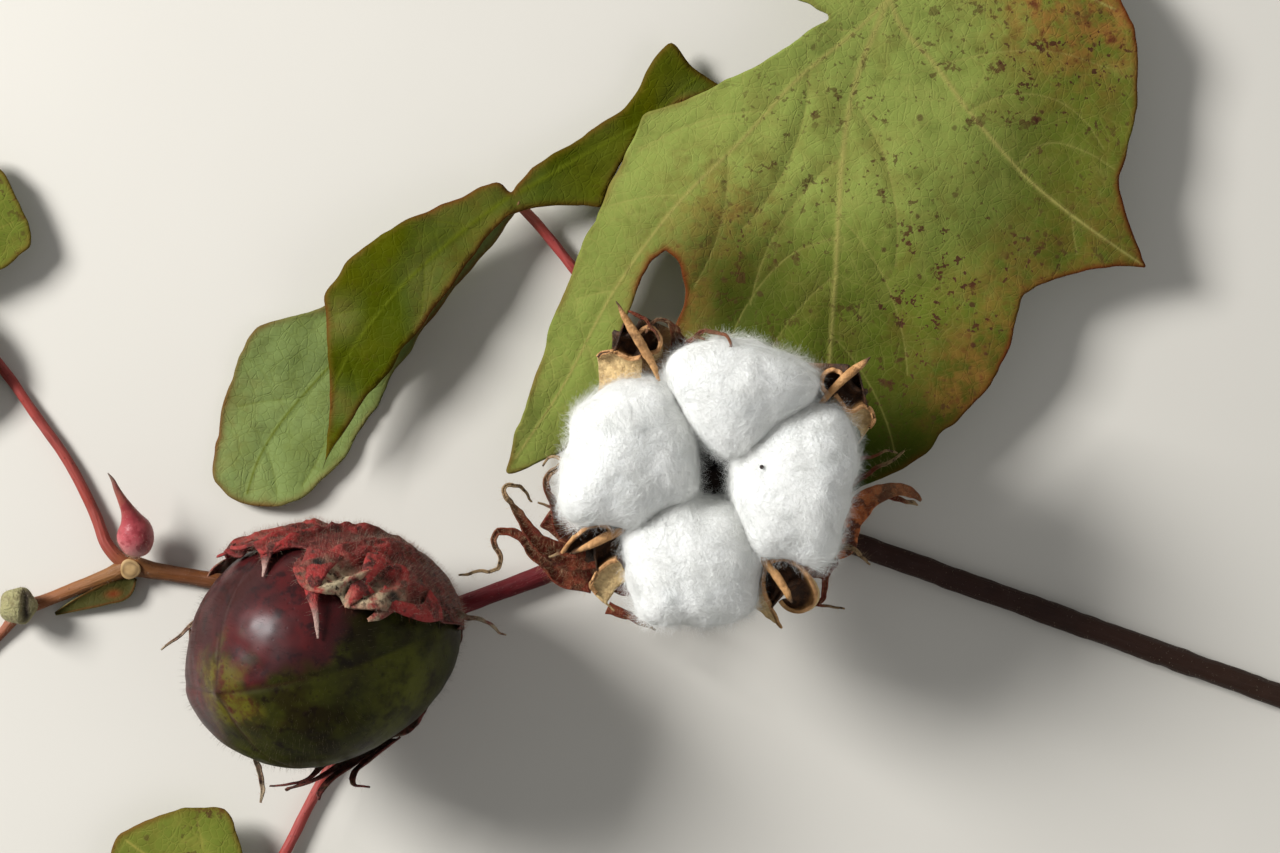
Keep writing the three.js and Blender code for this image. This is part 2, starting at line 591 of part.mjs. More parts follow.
// A young bud at the third node, with the dry scale behind it, and a withered bud at the fourth.
function addBuds() {
  const budBase = point(-96.3, -25.9, 4.3);
  const budTip = point(-97.2, -11, 13);
  const budFrame = frameAt(budBase, budTip.clone().sub(budBase));
  const budLength = budTip.distanceTo(budBase);
  const budRadius = 3.5;
  const bud = (turn, rise) => {
    const full = Math.sin(Math.PI * Math.min(1, rise * 1.25) ** 0.75);
    const out = rise < 0.02 || rise > 0.98 ? 0 : Math.max(budRadius * full, 0.35);
    return roundAxis(out, turn * 360, rise * budLength);
  };
  addPiece("young_bud", roundBody(bud, 12, 12), BUD).applyMatrix4(budFrame);

  const scaleStart = point(-98.6, -32, 1.4);
  const scaleEnd = point(-112.6, -37.6, 0.9);
  const across = scaleEnd.clone().sub(scaleStart).normalize().cross(point(0, 0, 1));
  const points = [];
  const steps = 6;
  for (let i = 0; i <= steps; i += 1) {
    const half = 0.5 + 2.1 * Math.sin((Math.PI * i) / steps);
    for (const side of [-1, 0, 1]) {
      points.push(scaleStart.clone().lerp(scaleEnd, i / steps).addScaledVector(across, side * half));
    }
  }
  const faces = [];
  for (let i = 0; i < steps; i += 1) {
    for (let k = 0; k < 2; k += 1) {
      const a = 3 * i + k;
      faces.push([a, a + 1, a + 3], [a + 1, a + 4, a + 3]);
    }
  }
  addPiece("dry_scale", thicken(points, faces, 0.8), LEAF);

  const witheredFrame = new THREE.Matrix4().setPosition(point(-117.2, -32.8, 6.6));
  const witheredRadius = 3.7;
  const withered = (turn, rise) => {
    const over = Math.PI * rise;
    const pinch = 1 - 0.12 * Math.cos(5 * turn * 2 * Math.PI) * Math.sin(over);
    return roundAxis(witheredRadius * Math.sin(over) * pinch, turn * 360, -witheredRadius * Math.cos(over));
  };
  addPiece("withered_bud", roundBody(withered, 12, 8), BURR).applyMatrix4(witheredFrame);
}

addBranch();
addOpenBoll();
addClosedBoll();
addLeaves();
addBuds();

// The origin goes to the bottom centre of the whole branch's bounding box.
plant.updateMatrixWorld(true);
const reach = new THREE.Box3().setFromObject(plant, true);
const middle = reach.getCenter(new THREE.Vector3());
plant.position.set(-middle.x, -middle.y, -reach.min.z);

export default plant;
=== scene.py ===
# Dresses a cut fruiting branch of a cotton plant over its solids: the zigzag branch and its stalks, the open
# boll with its four locks of lint, woody valves and dried bracts, the closed boll in its red bracts, four
# leaves, a young bud, a dry scale and a withered bud.
# Lengths are in millimetres, from the point that the branch's source also measures from. make_piece moves
# them into the frame and turns them into metres. A knot of a path is its place, and then the radius or the
# half width there.

import json
import math

import bpy
import numpy as np
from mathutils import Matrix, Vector
from mathutils.geometry import delaunay_2d_cdt
from mathutils.kdtree import KDTree


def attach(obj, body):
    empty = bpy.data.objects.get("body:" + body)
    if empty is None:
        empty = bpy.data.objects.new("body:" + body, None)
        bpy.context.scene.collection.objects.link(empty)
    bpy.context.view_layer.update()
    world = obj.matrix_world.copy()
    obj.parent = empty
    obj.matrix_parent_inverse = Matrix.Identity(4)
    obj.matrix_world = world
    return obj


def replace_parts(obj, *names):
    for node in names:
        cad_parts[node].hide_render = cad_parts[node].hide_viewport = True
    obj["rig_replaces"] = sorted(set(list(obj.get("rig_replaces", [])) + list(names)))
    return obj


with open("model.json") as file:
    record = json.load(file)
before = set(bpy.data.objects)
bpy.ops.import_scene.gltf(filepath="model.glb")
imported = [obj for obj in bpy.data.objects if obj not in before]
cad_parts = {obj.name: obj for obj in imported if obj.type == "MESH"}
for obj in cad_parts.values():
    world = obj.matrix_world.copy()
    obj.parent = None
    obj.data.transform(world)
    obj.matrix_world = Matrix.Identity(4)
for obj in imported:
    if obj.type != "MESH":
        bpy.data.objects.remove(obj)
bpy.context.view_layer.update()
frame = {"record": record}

METRE = 1000.0
# The middle of the cut face as its source measures it. The record says where that point is in the frame.
CUT_FACE = np.array([123.6, -51.9, 2.3])
cut_mount = next(mount for mount in frame["record"]["mounts"] if mount["name"] == "cut_face")
SHIFT = np.array(cut_mount["pos_m"]) * METRE - CUT_FACE

LATTICE = np.random.default_rng(7).uniform(-1, 1, (32, 32, 32))


# Shapes

def unit(vectors):
    return vectors / np.maximum(np.linalg.norm(vectors, axis=-1, keepdims=True), 1e-9)


def stack(*columns):
    return np.stack(np.broadcast_arrays(*columns), axis=-1).astype(float)


def mix(low, high, share):
    return low + (high - low) * share


def soft_step(value, low, high):
    """0 below low, 1 above high, and a smooth rise between them."""
    share = np.clip((value - low) / (high - low), 0, 1)
    return share * share * (3 - 2 * share)


def bell(offset, width):
    """1 where the offset is 0, and a smooth fall to nothing about two widths away."""
    return np.exp(-((offset / width) ** 2))


def noise(points, size, seed):
    """Smooth noise from -1 to 1, in lumps of about the given size."""
    spots = points / size + 11.3 * seed
    low = np.floor(spots).astype(int)
    part = spots - low
    part = part * part * (3 - 2 * part)
    total = np.zeros(points.shape[:-1])
    for corner in np.ndindex(2, 2, 2):
        weight = np.prod(np.where(corner, part, 1 - part), axis=-1)
        cell = (low + corner) % 32
        total += weight * LATTICE[cell[..., 0], cell[..., 1], cell[..., 2]]
    return total


def frame_at(origin, direction):
    """A frame with its Z axis along a direction, and its X axis as near to +X as that leaves."""
    up = unit(np.array(direction, float))
    across = unit(np.array([1.0, 0, 0]) - up * up[0])
    return np.array(origin, float), np.array([across, np.cross(up, across), up])


def placed(local, own_frame):
    origin, axes = own_frame
    return origin + np.asarray(local, float) @ axes


def round_axis(out, degrees, height):
    turn = np.radians(degrees)
    return stack(out * np.cos(turn), out * np.sin(turn), height)


def travelled(path):
    """How far along a path each of its points lies."""
    steps = np.linalg.norm(np.diff(path, axis=0), axis=1)
    return np.concatenate([[0], np.cumsum(steps)])


def smooth_path(knots, count):
    """Evenly spaced points on a smooth curve through the knots. Columns past the third ride along."""
    knots = np.array(knots, float)
    gaps = np.maximum(np.linalg.norm(np.diff(knots[:, :3], axis=0), axis=1), 1e-6)[:, None]
    slopes = np.diff(knots, axis=0) / gaps
    between = (slopes[:-1] * gaps[1:] + slopes[1:] * gaps[:-1]) / (gaps[:-1] + gaps[1:])
    slopes = np.concatenate([slopes[:1], between, slopes[-1:]])
    t = np.linspace(0, 1, 16, endpoint=False)[:, None]
    stretches = []
    for start, end, leaving, arriving, gap in zip(knots, knots[1:], slopes, slopes[1:], gaps):
        bend = gap * (leaving * (t - 2 * t**2 + t**3) + arriving * (t**3 - t**2))
        stretches.append(mix(start, end, 3 * t**2 - 2 * t**3) + bend)
    fine = np.concatenate([*stretches, knots[-1:]])
    way = travelled(fine[:, :3])
    even = np.linspace(0, way[-1], count)
    return np.stack([np.interp(even, way, column) for column in fine.T], axis=1)


def grid_places(rows, columns):
    """How far along and across a grid its points lie, listed row by row: 0 to 1 and -1 to 1."""
    along, across = np.meshgrid(np.linspace(0, 1, rows), np.linspace(-1, 1, columns), indexing="ij")
    return along.ravel(), across.ravel()


def grid_faces(rows, columns, wrap=False):
    """Quads between the points of a grid that is listed row by row."""
    j, i = np.mgrid[0 : rows - 1, 0 : columns if wrap else columns - 1]
    near = (j * columns + i).ravel()
    far = (j * columns + (i + 1) % columns).ravel()
    return np.stack([near, far, far + columns, near + columns], axis=1)


def fan(tip, near, far):
    """Triangles from one point to the pairs of neighbours on a ring."""
    return stack(tip, near, far).astype(int)


def round_body(surface, turns, rises):
    """A closed skin on a sphere's grid: surface(turn, rise) with both from 0 to 1, and rise 1 at the top."""
    turn, rise = np.meshgrid(np.arange(turns) / turns, np.arange(1, rises) / rises)
    poles = surface(np.zeros(2), np.array([0.0, 1.0]))
    points = np.concatenate([surface(turn.ravel(), rise.ravel()), poles])
    foot = turns * (rises - 1)
    last = foot - turns
    i = np.arange(turns)
    after = (i + 1) % turns
    caps = [fan(foot, after, i), fan(foot + 1, last + i, last + after)]
    return points, [grid_faces(rises - 1, turns, wrap=True), *caps]


def normals_of(points, faces):
    total = np.zeros_like(points)
    for group in faces:
        corners = points[group]
        flat = np.cross(corners[:, 1] - corners[:, 0], corners[:, -1] - corners[:, 0])
        for k in range(group.shape[1]):
            np.add.at(total, group[:, k], flat)
    return unit(total)


def thickened(points, faces, thickness):
    """A closed sheet about an open one, with 0 or 1 for each point: on its front or on its back."""
    count = len(points)
    half = np.reshape(np.broadcast_to(thickness, count), (-1, 1)) / 2 * normals_of(points, [faces])
    edges = np.concatenate([np.roll(faces, -k, axis=1)[:, :2] for k in range(faces.shape[1])])
    forward = edges[:, 0] * count + edges[:, 1]
    backward = edges[:, 1] * count + edges[:, 0]
    rim = edges[~np.isin(forward, backward)]
    walls = stack(rim[:, 1], rim[:, 0], rim[:, 0] + count, rim[:, 1] + count).astype(int)
    side = np.repeat([0.0, 1.0], count)
    return np.concatenate([points + half, points - half]), [faces, faces[:, ::-1] + count, walls], side


def tube(course, sides, flat=1.0):
    """A closed tube along a course of places and radii. flat narrows it upwards.
    Also gives each point's share of the way along, and its place on the skin for a grain that runs along."""
    path, radii = course[:, :3], course[:, 3]
    count = len(path)
    along = unit(np.gradient(path, axis=0))
    side = unit(np.cross(along[0], [0, 0, 1.0]) + 1e-6)
    sideways = []
    for direction in along:
        side = unit(side - direction * (side @ direction))
        sideways.append(side)
    sideways = np.array(sideways)
    upward = np.cross(sideways, along)
    turn = np.linspace(0, 2 * math.pi, sides, endpoint=False)
    across, rise = radii[:, None] * np.cos(turn), radii[:, None] * np.sin(turn)
    wide = across[..., None] * sideways[:, None]
    high = radii[:, None, None] * flat * np.sin(turn)[:, None] * upward[:, None]
    rings = (path[:, None] + wide + high).reshape(-1, 3)
    tips = np.stack([path[0] - along[0] * radii[0] * 0.25, path[-1] + along[-1] * radii[-1] * 0.25])
    foot, last = count * sides, (count - 1) * sides
    i = np.arange(sides)
    after = (i + 1) % sides
    body = grid_faces(count, sides, wrap=True)[:, ::-1]
    caps = [fan(foot, i, after), fan(foot + 1, last + after, last + i)]
    way = travelled(path)
    skin = stack(across.ravel(), rise.ravel(), np.repeat(way, sides))
    skin = np.concatenate([skin, [[0, 0, 0], [0, 0, way[-1]]]])
    share = np.concatenate([np.repeat(way / way[-1], sides), [0, 1]])
    return np.concatenate([rings, tips]), [body, *caps], share, skin


def joined(parts):
    """Several shapes as one: each is its points, its faces and a dict of values for its points."""
    faces, start = [], 0
    for points, groups, _ in parts:
        faces += [group + start for group in groups]
        start += len(points)
    values = {}
    for name in dict.fromkeys(name for part in parts for name in part[2]):
        model = next(part[2][name] for part in parts if name in part[2])
        blanks = [np.zeros((len(part[0]), *model.shape[1:])) for part in parts]
        values[name] = np.concatenate([part[2].get(name, blank) for part, blank in zip(parts, blanks)])
    return np.concatenate([part[0] for part in parts]), faces, values


def new_object(name, data):
    made = bpy.data.objects.new(name, data)
    bpy.context.scene.collection.objects.link(made)
    return made


def make_piece(name, shape, finish, nodes):
    """A piece of the branch from its points, faces and values. It stands for the given solids."""
    points, faces, values = shape
    mesh = bpy.data.meshes.new(name)
    corners = [face for group in faces for face in group.tolist()]
    mesh.from_pydata(((points + SHIFT) / METRE).tolist(), [], corners)
    for key, numbers in values.items():
        kind, field = ("FLOAT_VECTOR", "vector") if numbers.ndim == 2 else ("FLOAT", "value")
        attribute = mesh.attributes.new(key, kind, "POINT")
        attribute.data.foreach_set(field, numbers.astype(np.float32).ravel())
    mesh.shade_smooth()
    mesh.materials.append(finish)
    piece = new_object(name, mesh)
    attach(piece, "root")
    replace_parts(piece, *nodes)
    return piece


# Materials

def linear(colour):
    """An sRGB hex colour as linear red, green, blue and alpha, and a plain number from 0 to 1 as that grey.
    A node or socket stays as it is."""
    if isinstance(colour, float):
        return colour, colour, colour, 1.0
    if not isinstance(colour, int):
        return colour
    channels = [(colour >> shift & 255) / 255 for shift in (16, 8, 0)]
    return (*[c / 12.92 if c <= 0.04045 else ((c + 0.055) / 1.055) ** 2.4 for c in channels], 1.0)


def add(tree, kind, settings=(), inputs=(), stops=()):
    """Adds a node with its settings and inputs. Inputs go by name, or in order from a tuple, and each is a
    value or the node or socket that feeds it."""
    node = tree.nodes.new(kind)
    for name, value in dict(settings).items():
        setattr(node, name, value)
    if isinstance(inputs, tuple):
        inputs = dict(zip([s.identifier for s in node.inputs if s.enabled], inputs))
    for key, value in inputs.items():
        socket = next(s for s in node.inputs if s.enabled and key in (s.name, s.identifier))
        if isinstance(value, bpy.types.Node):
            value = next(s for s in value.outputs if s.enabled)
        if isinstance(value, bpy.types.NodeSocket):
            tree.links.new(value, socket)
        else:
            socket.default_value = value
    for index, (place, colour) in enumerate(stops):
        element = node.color_ramp.elements[index] if index < 2 else node.color_ramp.elements.new(place)
        element.position = place
        element.color = linear(colour)
    return node


def start_material(name):
    """A new material, its tree, and the object's own coordinates, which its patterns follow."""
    made = bpy.data.materials.new(name)
    made.use_nodes = True
    tree = made.node_tree
    tree.nodes.clear()
    return made, tree, add(tree, "ShaderNodeTexCoord").outputs["Object"]


def close_material(made, colour, roughness, relief=None, depth=0.1, **shader):
    """Ends a material: its colour and roughness, and a relief of the given depth in millimetres."""
    tree = made.node_tree
    inputs = {"Base Color": colour, "Roughness": roughness}
    if relief is not None:
        inputs["Normal"] = add(tree, "ShaderNodeBump", inputs={"Height": relief, "Distance": depth / METRE})
    for key, value in shader.items():
        inputs[key.replace("_", " ")] = value
    surface = add(tree, "ShaderNodeBsdfPrincipled", {"subsurface_method": "BURLEY"}, inputs)
    add(tree, "ShaderNodeOutputMaterial", inputs={"Surface": surface})
    return made


def mottle(tree, where, size, low, high, detail=3.0):
    """Patches of about the given size in millimetres: 0 where the noise is under low, 1 where it is over
    high."""
    noise_inputs = {"Vector": where, "Scale": METRE / size, "Detail": detail, "Roughness": 0.6}
    cloud = add(tree, "ShaderNodeTexNoise", inputs=noise_inputs)
    edges = {"Value": cloud, "From Min": low, "From Max": high}
    return add(tree, "ShaderNodeMapRange", {"interpolation_type": "SMOOTHSTEP"}, edges)


def cells(tree, where, size, outer, inner, feature="F1"):
    """A dot in each cell of the given size or, with the feature DISTANCE_TO_EDGE, threads between the cells.
    The mask is 0 past the distance outer and 1 within inner, both as shares of the size."""
    spots = add(tree, "ShaderNodeTexVoronoi", {"feature": feature}, {"Vector": where, "Scale": METRE / size})
    return add(tree, "ShaderNodeMapRange", inputs={"Value": spots, "From Min": outer, "From Max": inner})


def times(tree, *masks):
    """The product of several masks. A name stands for what the mesh says at each point under that name."""
    product = None
    for mask in masks:
        if isinstance(mask, str):
            mask = add(tree, "ShaderNodeAttribute", {"attribute_name": mask}).outputs["Fac"]
        if product is not None:
            mask = add(tree, "ShaderNodeMath", {"operation": "MULTIPLY"}, (product, mask))
        product = mask
    return product


def painted(tree, base, *coats):
    """A colour with coats over it, each a mask, a colour and, where it is a thin one, its strength."""
    colour = linear(base)
    for mask, coat, *strength in coats:
        inputs = {"Factor_Float": times(tree, mask, *strength), "A_Color": colour, "B_Color": linear(coat)}
        colour = add(tree, "ShaderNodeMix", {"data_type": "RGBA"}, inputs)
    return colour


def stem_finish(name, stops, roughness):
    """A young woody or sappy stem: a satin skin with a fine grain along it and small dark glands."""
    made, tree, place = start_material(name)
    skin = add(tree, "ShaderNodeAttribute", {"attribute_name": "skin"}).outputs["Vector"]
    # The skin's millimetres as metres, with the grain eight times as long as it is wide.
    drawn_out = add(tree, "ShaderNodeVectorMath", {"operation": "MULTIPLY"}, (skin, (0.001, 0.001, 0.00012)))
    tone = add(tree, "ShaderNodeValToRGB", inputs={"Fac": times(tree, "along")}, stops=stops)
    grain = mottle(tree, drawn_out, 0.7, 0.35, 0.75)
    patches = mottle(tree, place, 5, 0.45, 0.75)
    darker = add(tree, "ShaderNodeHueSaturation", inputs={"Color": tone, "Value": 0.55})
    lighter = add(tree, "ShaderNodeHueSaturation", inputs={"Color": tone, "Value": 1.25, "Saturation": 0.85})
    colour = painted(
        tree,
        tone,
        (patches, darker, 0.6),
        (grain, lighter, 0.5),
        (cells(tree, place, 1.3, 0.16, 0.08), 0x2A120C, 0.5),
        ("scar", painted(tree, 0xAE9064, (patches, 0x8E6E42))),
    )
    return close_material(made, colour, roughness, grain, 0.12, Specular_IOR_Level=0.2)


def speck_mask(tree, where, spacing, rarity, widest):
    """Ragged round specks, one to a cell of the given spacing. Rarity is the share of cells without one, and
    widest the largest radius as a share of the spacing."""
    cell = add(tree, "ShaderNodeTexVoronoi", inputs={"Vector": where, "Scale": METRE / spacing})
    chance = add(tree, "ShaderNodeSeparateColor", inputs={"Color": cell.outputs["Color"]}).outputs["Red"]
    sizes = {"Value": chance, "From Min": rarity, "From Max": 1.0, "To Min": 0.0, "To Max": widest}
    radius = add(tree, "ShaderNodeMapRange", inputs=sizes)
    ragged = mottle(tree, where, spacing / 4, 0.2, 0.8)
    away = cell.outputs["Distance"]
    edge = add(tree, "ShaderNodeMath", {"operation": "MULTIPLY_ADD"}, (ragged, 0.12, away))
    depth = add(tree, "ShaderNodeMath", {"operation": "SUBTRACT"}, (radius, edge))
    return add(tree, "ShaderNodeMapRange", inputs={"Value": depth, "From Min": -0.05, "From Max": 0.03})


def leaf_finish(name, green, deep, pale, vein, shade, specks=1.0):
    """A cotton leaf near the end of the season: a matt green blade, a net of pale veins, purple-brown specks
    in clusters and rusty margins, and, where its masks say, painted sunlight and painted shade."""
    made, tree, place = start_material(name)
    # Heights count less, so that no pattern is cut across where the blade bends.
    flat = add(tree, "ShaderNodeVectorMath", {"operation": "MULTIPLY"}, (place, (1, 1, 0.2)))
    wobble = add(tree, "ShaderNodeTexNoise", inputs={"Vector": flat, "Scale": METRE / 4, "Detail": 2.0})
    shifted = add(tree, "ShaderNodeVectorMath", {"operation": "MULTIPLY_ADD"},
                  (wobble.outputs["Color"], (0.0016, 0.0016, 0.0), flat))
    wide_net = cells(tree, shifted, 5.0, 0.035, 0.0, "DISTANCE_TO_EDGE")
    fine_net = cells(tree, shifted, 1.5, 0.12, 0.0, "DISTANCE_TO_EDGE")
    cluster = mottle(tree, flat, 9, 0.40, 0.56)
    anywhere = add(tree, "ShaderNodeMapRange", inputs={"Value": cluster, "To Min": 0.25})
    speckled = times(tree, "specks", specks)
    # Ragged brown specks about 1.5 and 0.6 mm wide, and rounder ones.
    large = mottle(tree, flat, 3.4, 0.61, 0.65, 4.0)
    small = mottle(tree, flat, 1.3, 0.61, 0.65, 2.0)
    round_ones = speck_mask(tree, flat, 3.3, 0.4, 0.24)
    rust = times(tree, "rust", mottle(tree, flat, 3, 0.25, 0.7))
    colour = painted(
        tree,
        green,
        (mottle(tree, flat, 22, 0.35, 0.7), deep),
        # pale: partly the leaf's own paler green, partly painted sunlight.
        ("pale", pale),
        (mottle(tree, flat, 5, 0.45, 0.8), vein, 0.25),
        (mottle(tree, flat, 6, 0.5, 0.8), shade, 0.4),
        (fine_net, vein, 0.12),
        (wide_net, vein, 0.14),
        (times(tree, mottle(tree, flat, 7, 0.46, 0.7), speckled), 0x5E4A1E, 0.4),
        # Painted shade where the mesh's shade mask says.
        ("shade", shade, 0.93),
        (rust, 0x8A5C2E, 0.8),
        ("vein", vein),
        (times(tree, large, anywhere, speckled), 0x42201A, 0.9),
        (times(tree, small, cluster, speckled), 0x40221C, 0.9),
        (times(tree, round_ones, speckled), 0x40221C, 0.8),
        (times(tree, rust, mottle(tree, flat, 2, 0.5, 0.7)), 0x52281A),
        ("rim", 0x5E2A12),
        ("under", 0x8A9660, 0.7),
    )
    relief = painted(
        tree,
        0.5,
        (mottle(tree, flat, 2.4, 0.2, 0.8), 0.8),
        (fine_net, 0.4),
        (wide_net, 0.32),
        (mottle(tree, flat, 0.8, 0.3, 0.7), 0.6, 0.4),
    )
    return close_material(made, colour, 0.6, relief, 0.2, Specular_IOR_Level=0.03)


def lint_finish():
    """Raw cotton lint: bright white, matt and soft, so that light sinks in and edges glow a little."""
    made, tree, place = start_material("raw_cotton_lint")
    strands = mottle(tree, place, 0.6, 0.25, 0.8, 6.0)
    colour = painted(tree, 0xE8E8E4, (mottle(tree, place, 6, 0.4, 0.8), 0xE4E7E6, 0.4), ("crumb", 0x2E221C))
    return close_material(
        made, colour, 0.95, strands, 0.12,
        Subsurface_Weight=0.35, Subsurface_Radius=(1.0, 1.0, 1.0), Subsurface_Scale=0.0015,
        Sheen_Weight=0.25, Sheen_Roughness=0.6, Specular_IOR_Level=0.2,
    )


def lint_fibre_finish():
    """Single lint hairs: white, nearly matt, drawn thicker than life so that they show."""
    made, tree, place = start_material("cotton_fibres")
    colour = painted(tree, 0xF0F0EC, (mottle(tree, place, 4, 0.4, 0.8), 0xE6E8E4))
    return close_material(made, colour, 0.8, Specular_IOR_Level=0.25)


def burr_finish():
    """A dry woody burr valve: tan and fibrous outside, pale orange on its rolled rim, near black in its
    hollow, which is partly its own dark brown and partly painted shade."""
    made, tree, place = start_material("dry_woody_burr")
    grain = mottle(tree, place, 0.8, 0.3, 0.75, 5.0)
    hollow = painted(tree, 0x38261A, (mottle(tree, place, 1.6, 0.42, 0.65), 0x583A24))
    rim = painted(tree, 0xDCA874, (mottle(tree, place, 2.0, 0.45, 0.7), 0xB07E4C), (grain, 0x8A5C32, 0.35))
    colour = painted(
        tree,
        0xB0824C,
        (mottle(tree, place, 3.5, 0.4, 0.7), 0xC89C60),
        ("papery", 0xE2C68F),
        (grain, 0x7E5430, 0.5),
        # Painted shade in the troughs, over their own dark brown.
        ("hollow", hollow),
        ("rim", rim),
        ("tip", 0x2A1C12, 0.9),
        # Painted shade: the boll's core near black in the gap between the locks.
        ("core", 0x23150C),
    )
    return close_material(made, colour, 0.62, grain, 0.2, Specular_IOR_Level=0.3)


def dried_bract_finish():
    """A dried bract: thin, leathery and hairy, deep red-brown with an orange-brown glow where it is thin."""
    made, tree, place = start_material("dried_bract")
    fibres = mottle(tree, place, 0.7, 0.3, 0.75, 5.0)
    glow = painted(tree, 0xD47A46, (mottle(tree, place, 1.8, 0.42, 0.62), 0x904426),
                   (mottle(tree, place, 3.2, 0.5, 0.6), 0x54241A))
    colour = painted(
        tree,
        0x62180E,
        (mottle(tree, place, 4, 0.45, 0.65), 0x30100A),
        (mottle(tree, place, 1.6, 0.5, 0.7), 0x80201C, 0.6),
        ("glow", glow),
        (fibres, 0x9A6A48, 0.35),
        ("bleached", 0x9C8460),
        (times(tree, "bleached", mottle(tree, place, 1.0, 0.5, 0.65)), 0x3E2A1A),
    )
    return close_material(made, colour, 0.75, fibres, 0.25, Specular_IOR_Level=0.25)


def boll_finish():
    """The skin of a full green boll turned purple by the sun: waxy, with dark mottles and sunk glands. The
    purple side has the smoother wax, so a little gloss goes with it."""
    made, tree, place = start_material("waxy_boll_skin")
    glands = cells(tree, place, 1.5, 0.22, 0.10)
    streaks = mottle(tree, place, 3.2, 0.5, 0.68)
    sunny = painted(tree, 0x321213, (mottle(tree, place, 8, 0.4, 0.7), 0x4A1516), (streaks, 0x1E0E10, 0.8))
    ripe = painted(tree, 0x5A5418, (mottle(tree, place, 2, 0.4, 0.7), 0x482014),
                   (mottle(tree, place, 4, 0.5, 0.7), 0x3A3A12))
    # The green side's dark olive is partly its own colour and partly painted shade, as it faces away from the
    # light.
    colour = painted(
        tree,
        0x26260A,
        (mottle(tree, place, 6, 0.4, 0.7), 0x393A0E, 0.8),
        (mottle(tree, place, 9, 0.42, 0.62), 0x1A1105, 0.75),
        (streaks, 0x140C06, 0.9),
        (times(tree, "olive", mottle(tree, place, 5, 0.3, 0.6)), 0x4C4E14),
        ("purple", sunny),
        ("yellow", ripe, 0.85),
        ("seam", 0x2A120F),
        (glands, 0x1C0C10, 0.3),
    )
    relief = painted(tree, 0.5, (glands, 0.2), (streaks, 0.8, 0.5))
    gloss = times(tree, "purple", 0.25)
    return close_material(made, colour, 0.46, relief, 0.1,
                          Coat_Weight=gloss, Coat_Roughness=0.3, Specular_IOR_Level=0.08)


def bract_finish():
    """A closed boll's bract: a felt of short hairs over wine-red tissue, with dry cream and brown patches."""
    made, tree, place = start_material("hairy_red_bract")
    felt = mottle(tree, place, 0.6, 0.35, 0.7, 5.0)
    threads = cells(tree, place, 2.4, 0.16, 0.02, "DISTANCE_TO_EDGE")
    colour = painted(
        tree,
        0x5E1414,
        (mottle(tree, place, 5, 0.38, 0.58), 0x982626),
        (mottle(tree, place, 2.6, 0.5, 0.62), 0x340E0D),
        (times(tree, "brown", mottle(tree, place, 5, 0.1, 0.5)), 0x28120D),
        (times(tree, "brown", mottle(tree, place, 3, 0.5, 0.7)), 0x44341A),
        # Painted shade in the creases.
        ("crease", 0x2E0C0B, 0.7),
        (threads, 0x9A4640, 0.3),
        (felt, 0xA0584C, 0.2),
        (times(tree, "dry", mottle(tree, place, 2.0, 0.3, 0.6)), 0xB5A585),
        (times(tree, "dry", mottle(tree, place, 1.4, 0.54, 0.64)), 0x3A2A1E),
        # The holes are painted, not cut: near-black spots of painted shade.
        ("hole", 0x1B1410),
        ("white", 0xB49A8E, 0.8),
    )
    return close_material(made, colour, 0.6, felt, 0.14, Specular_IOR_Level=0.25)


def hair_finish(name, colour):
    """Short plant hairs of one colour, translucent in life and so kept light."""
    made, tree, place = start_material(name)
    darker = add(tree, "ShaderNodeHueSaturation", inputs={"Color": linear(colour), "Value": 0.7})
    coat = painted(tree, colour, (mottle(tree, place, 3, 0.4, 0.7), darker))
    return close_material(made, coat, 0.6, Specular_IOR_Level=0.3)


def bud_finish():
    """A young bud's tight bracts: smooth, wine red over pink, paler at the foot."""
    made, tree, place = start_material("young_bud_skin")
    stops = ((0.0, 0xB8907A), (0.15, 0xC07A78), (0.32, 0xA84A50), (0.5, 0x96343A), (0.72, 0x924A3E),
             (1.0, 0x64564A))
    tone = add(tree, "ShaderNodeValToRGB", inputs={"Fac": times(tree, "along")}, stops=stops)
    grain = mottle(tree, place, 0.8, 0.3, 0.7)
    colour = painted(tree, tone, (mottle(tree, place, 2.5, 0.5, 0.6), 0x7E2028, 0.6))
    return close_material(made, colour, 0.4, grain, 0.04)


def withered_finish():
    """A withered bud: papery grey-green folds, dark brown in its cleft."""
    made, tree, place = start_material("withered_bud_skin")
    grain = mottle(tree, place, 0.7, 0.3, 0.7, 5.0)
    colour = painted(tree, 0x9A9464, (mottle(tree, place, 2.2, 0.45, 0.65), 0x7A7048), (grain, 0xB8B088, 0.3),
                     ("crease", 0x33261A))
    return close_material(made, colour, 0.8, grain, 0.3)


def floor_finish():
    """A plain matt table top, a little darker than the lint."""
    made, tree, place = start_material("matt_table")
    colour = painted(tree, 0xCFCBC2, (mottle(tree, place, 90, 0.3, 0.8), 0xC7C3BA, 0.3))
    return close_material(made, colour, 0.9, Specular_IOR_Level=0.2)


# Hairs and fibres

HAIR_INPUTS = {
    "Surface": "Geometry", "Density": "Float", "Length": "Float", "Thickness": "Float", "Lean": "Float",
    "Flow size": "Float", "Curl": "Float", "Curl size": "Float", "Steps": "Int", "Seed": "Int",
    "Finish": "Material",
}
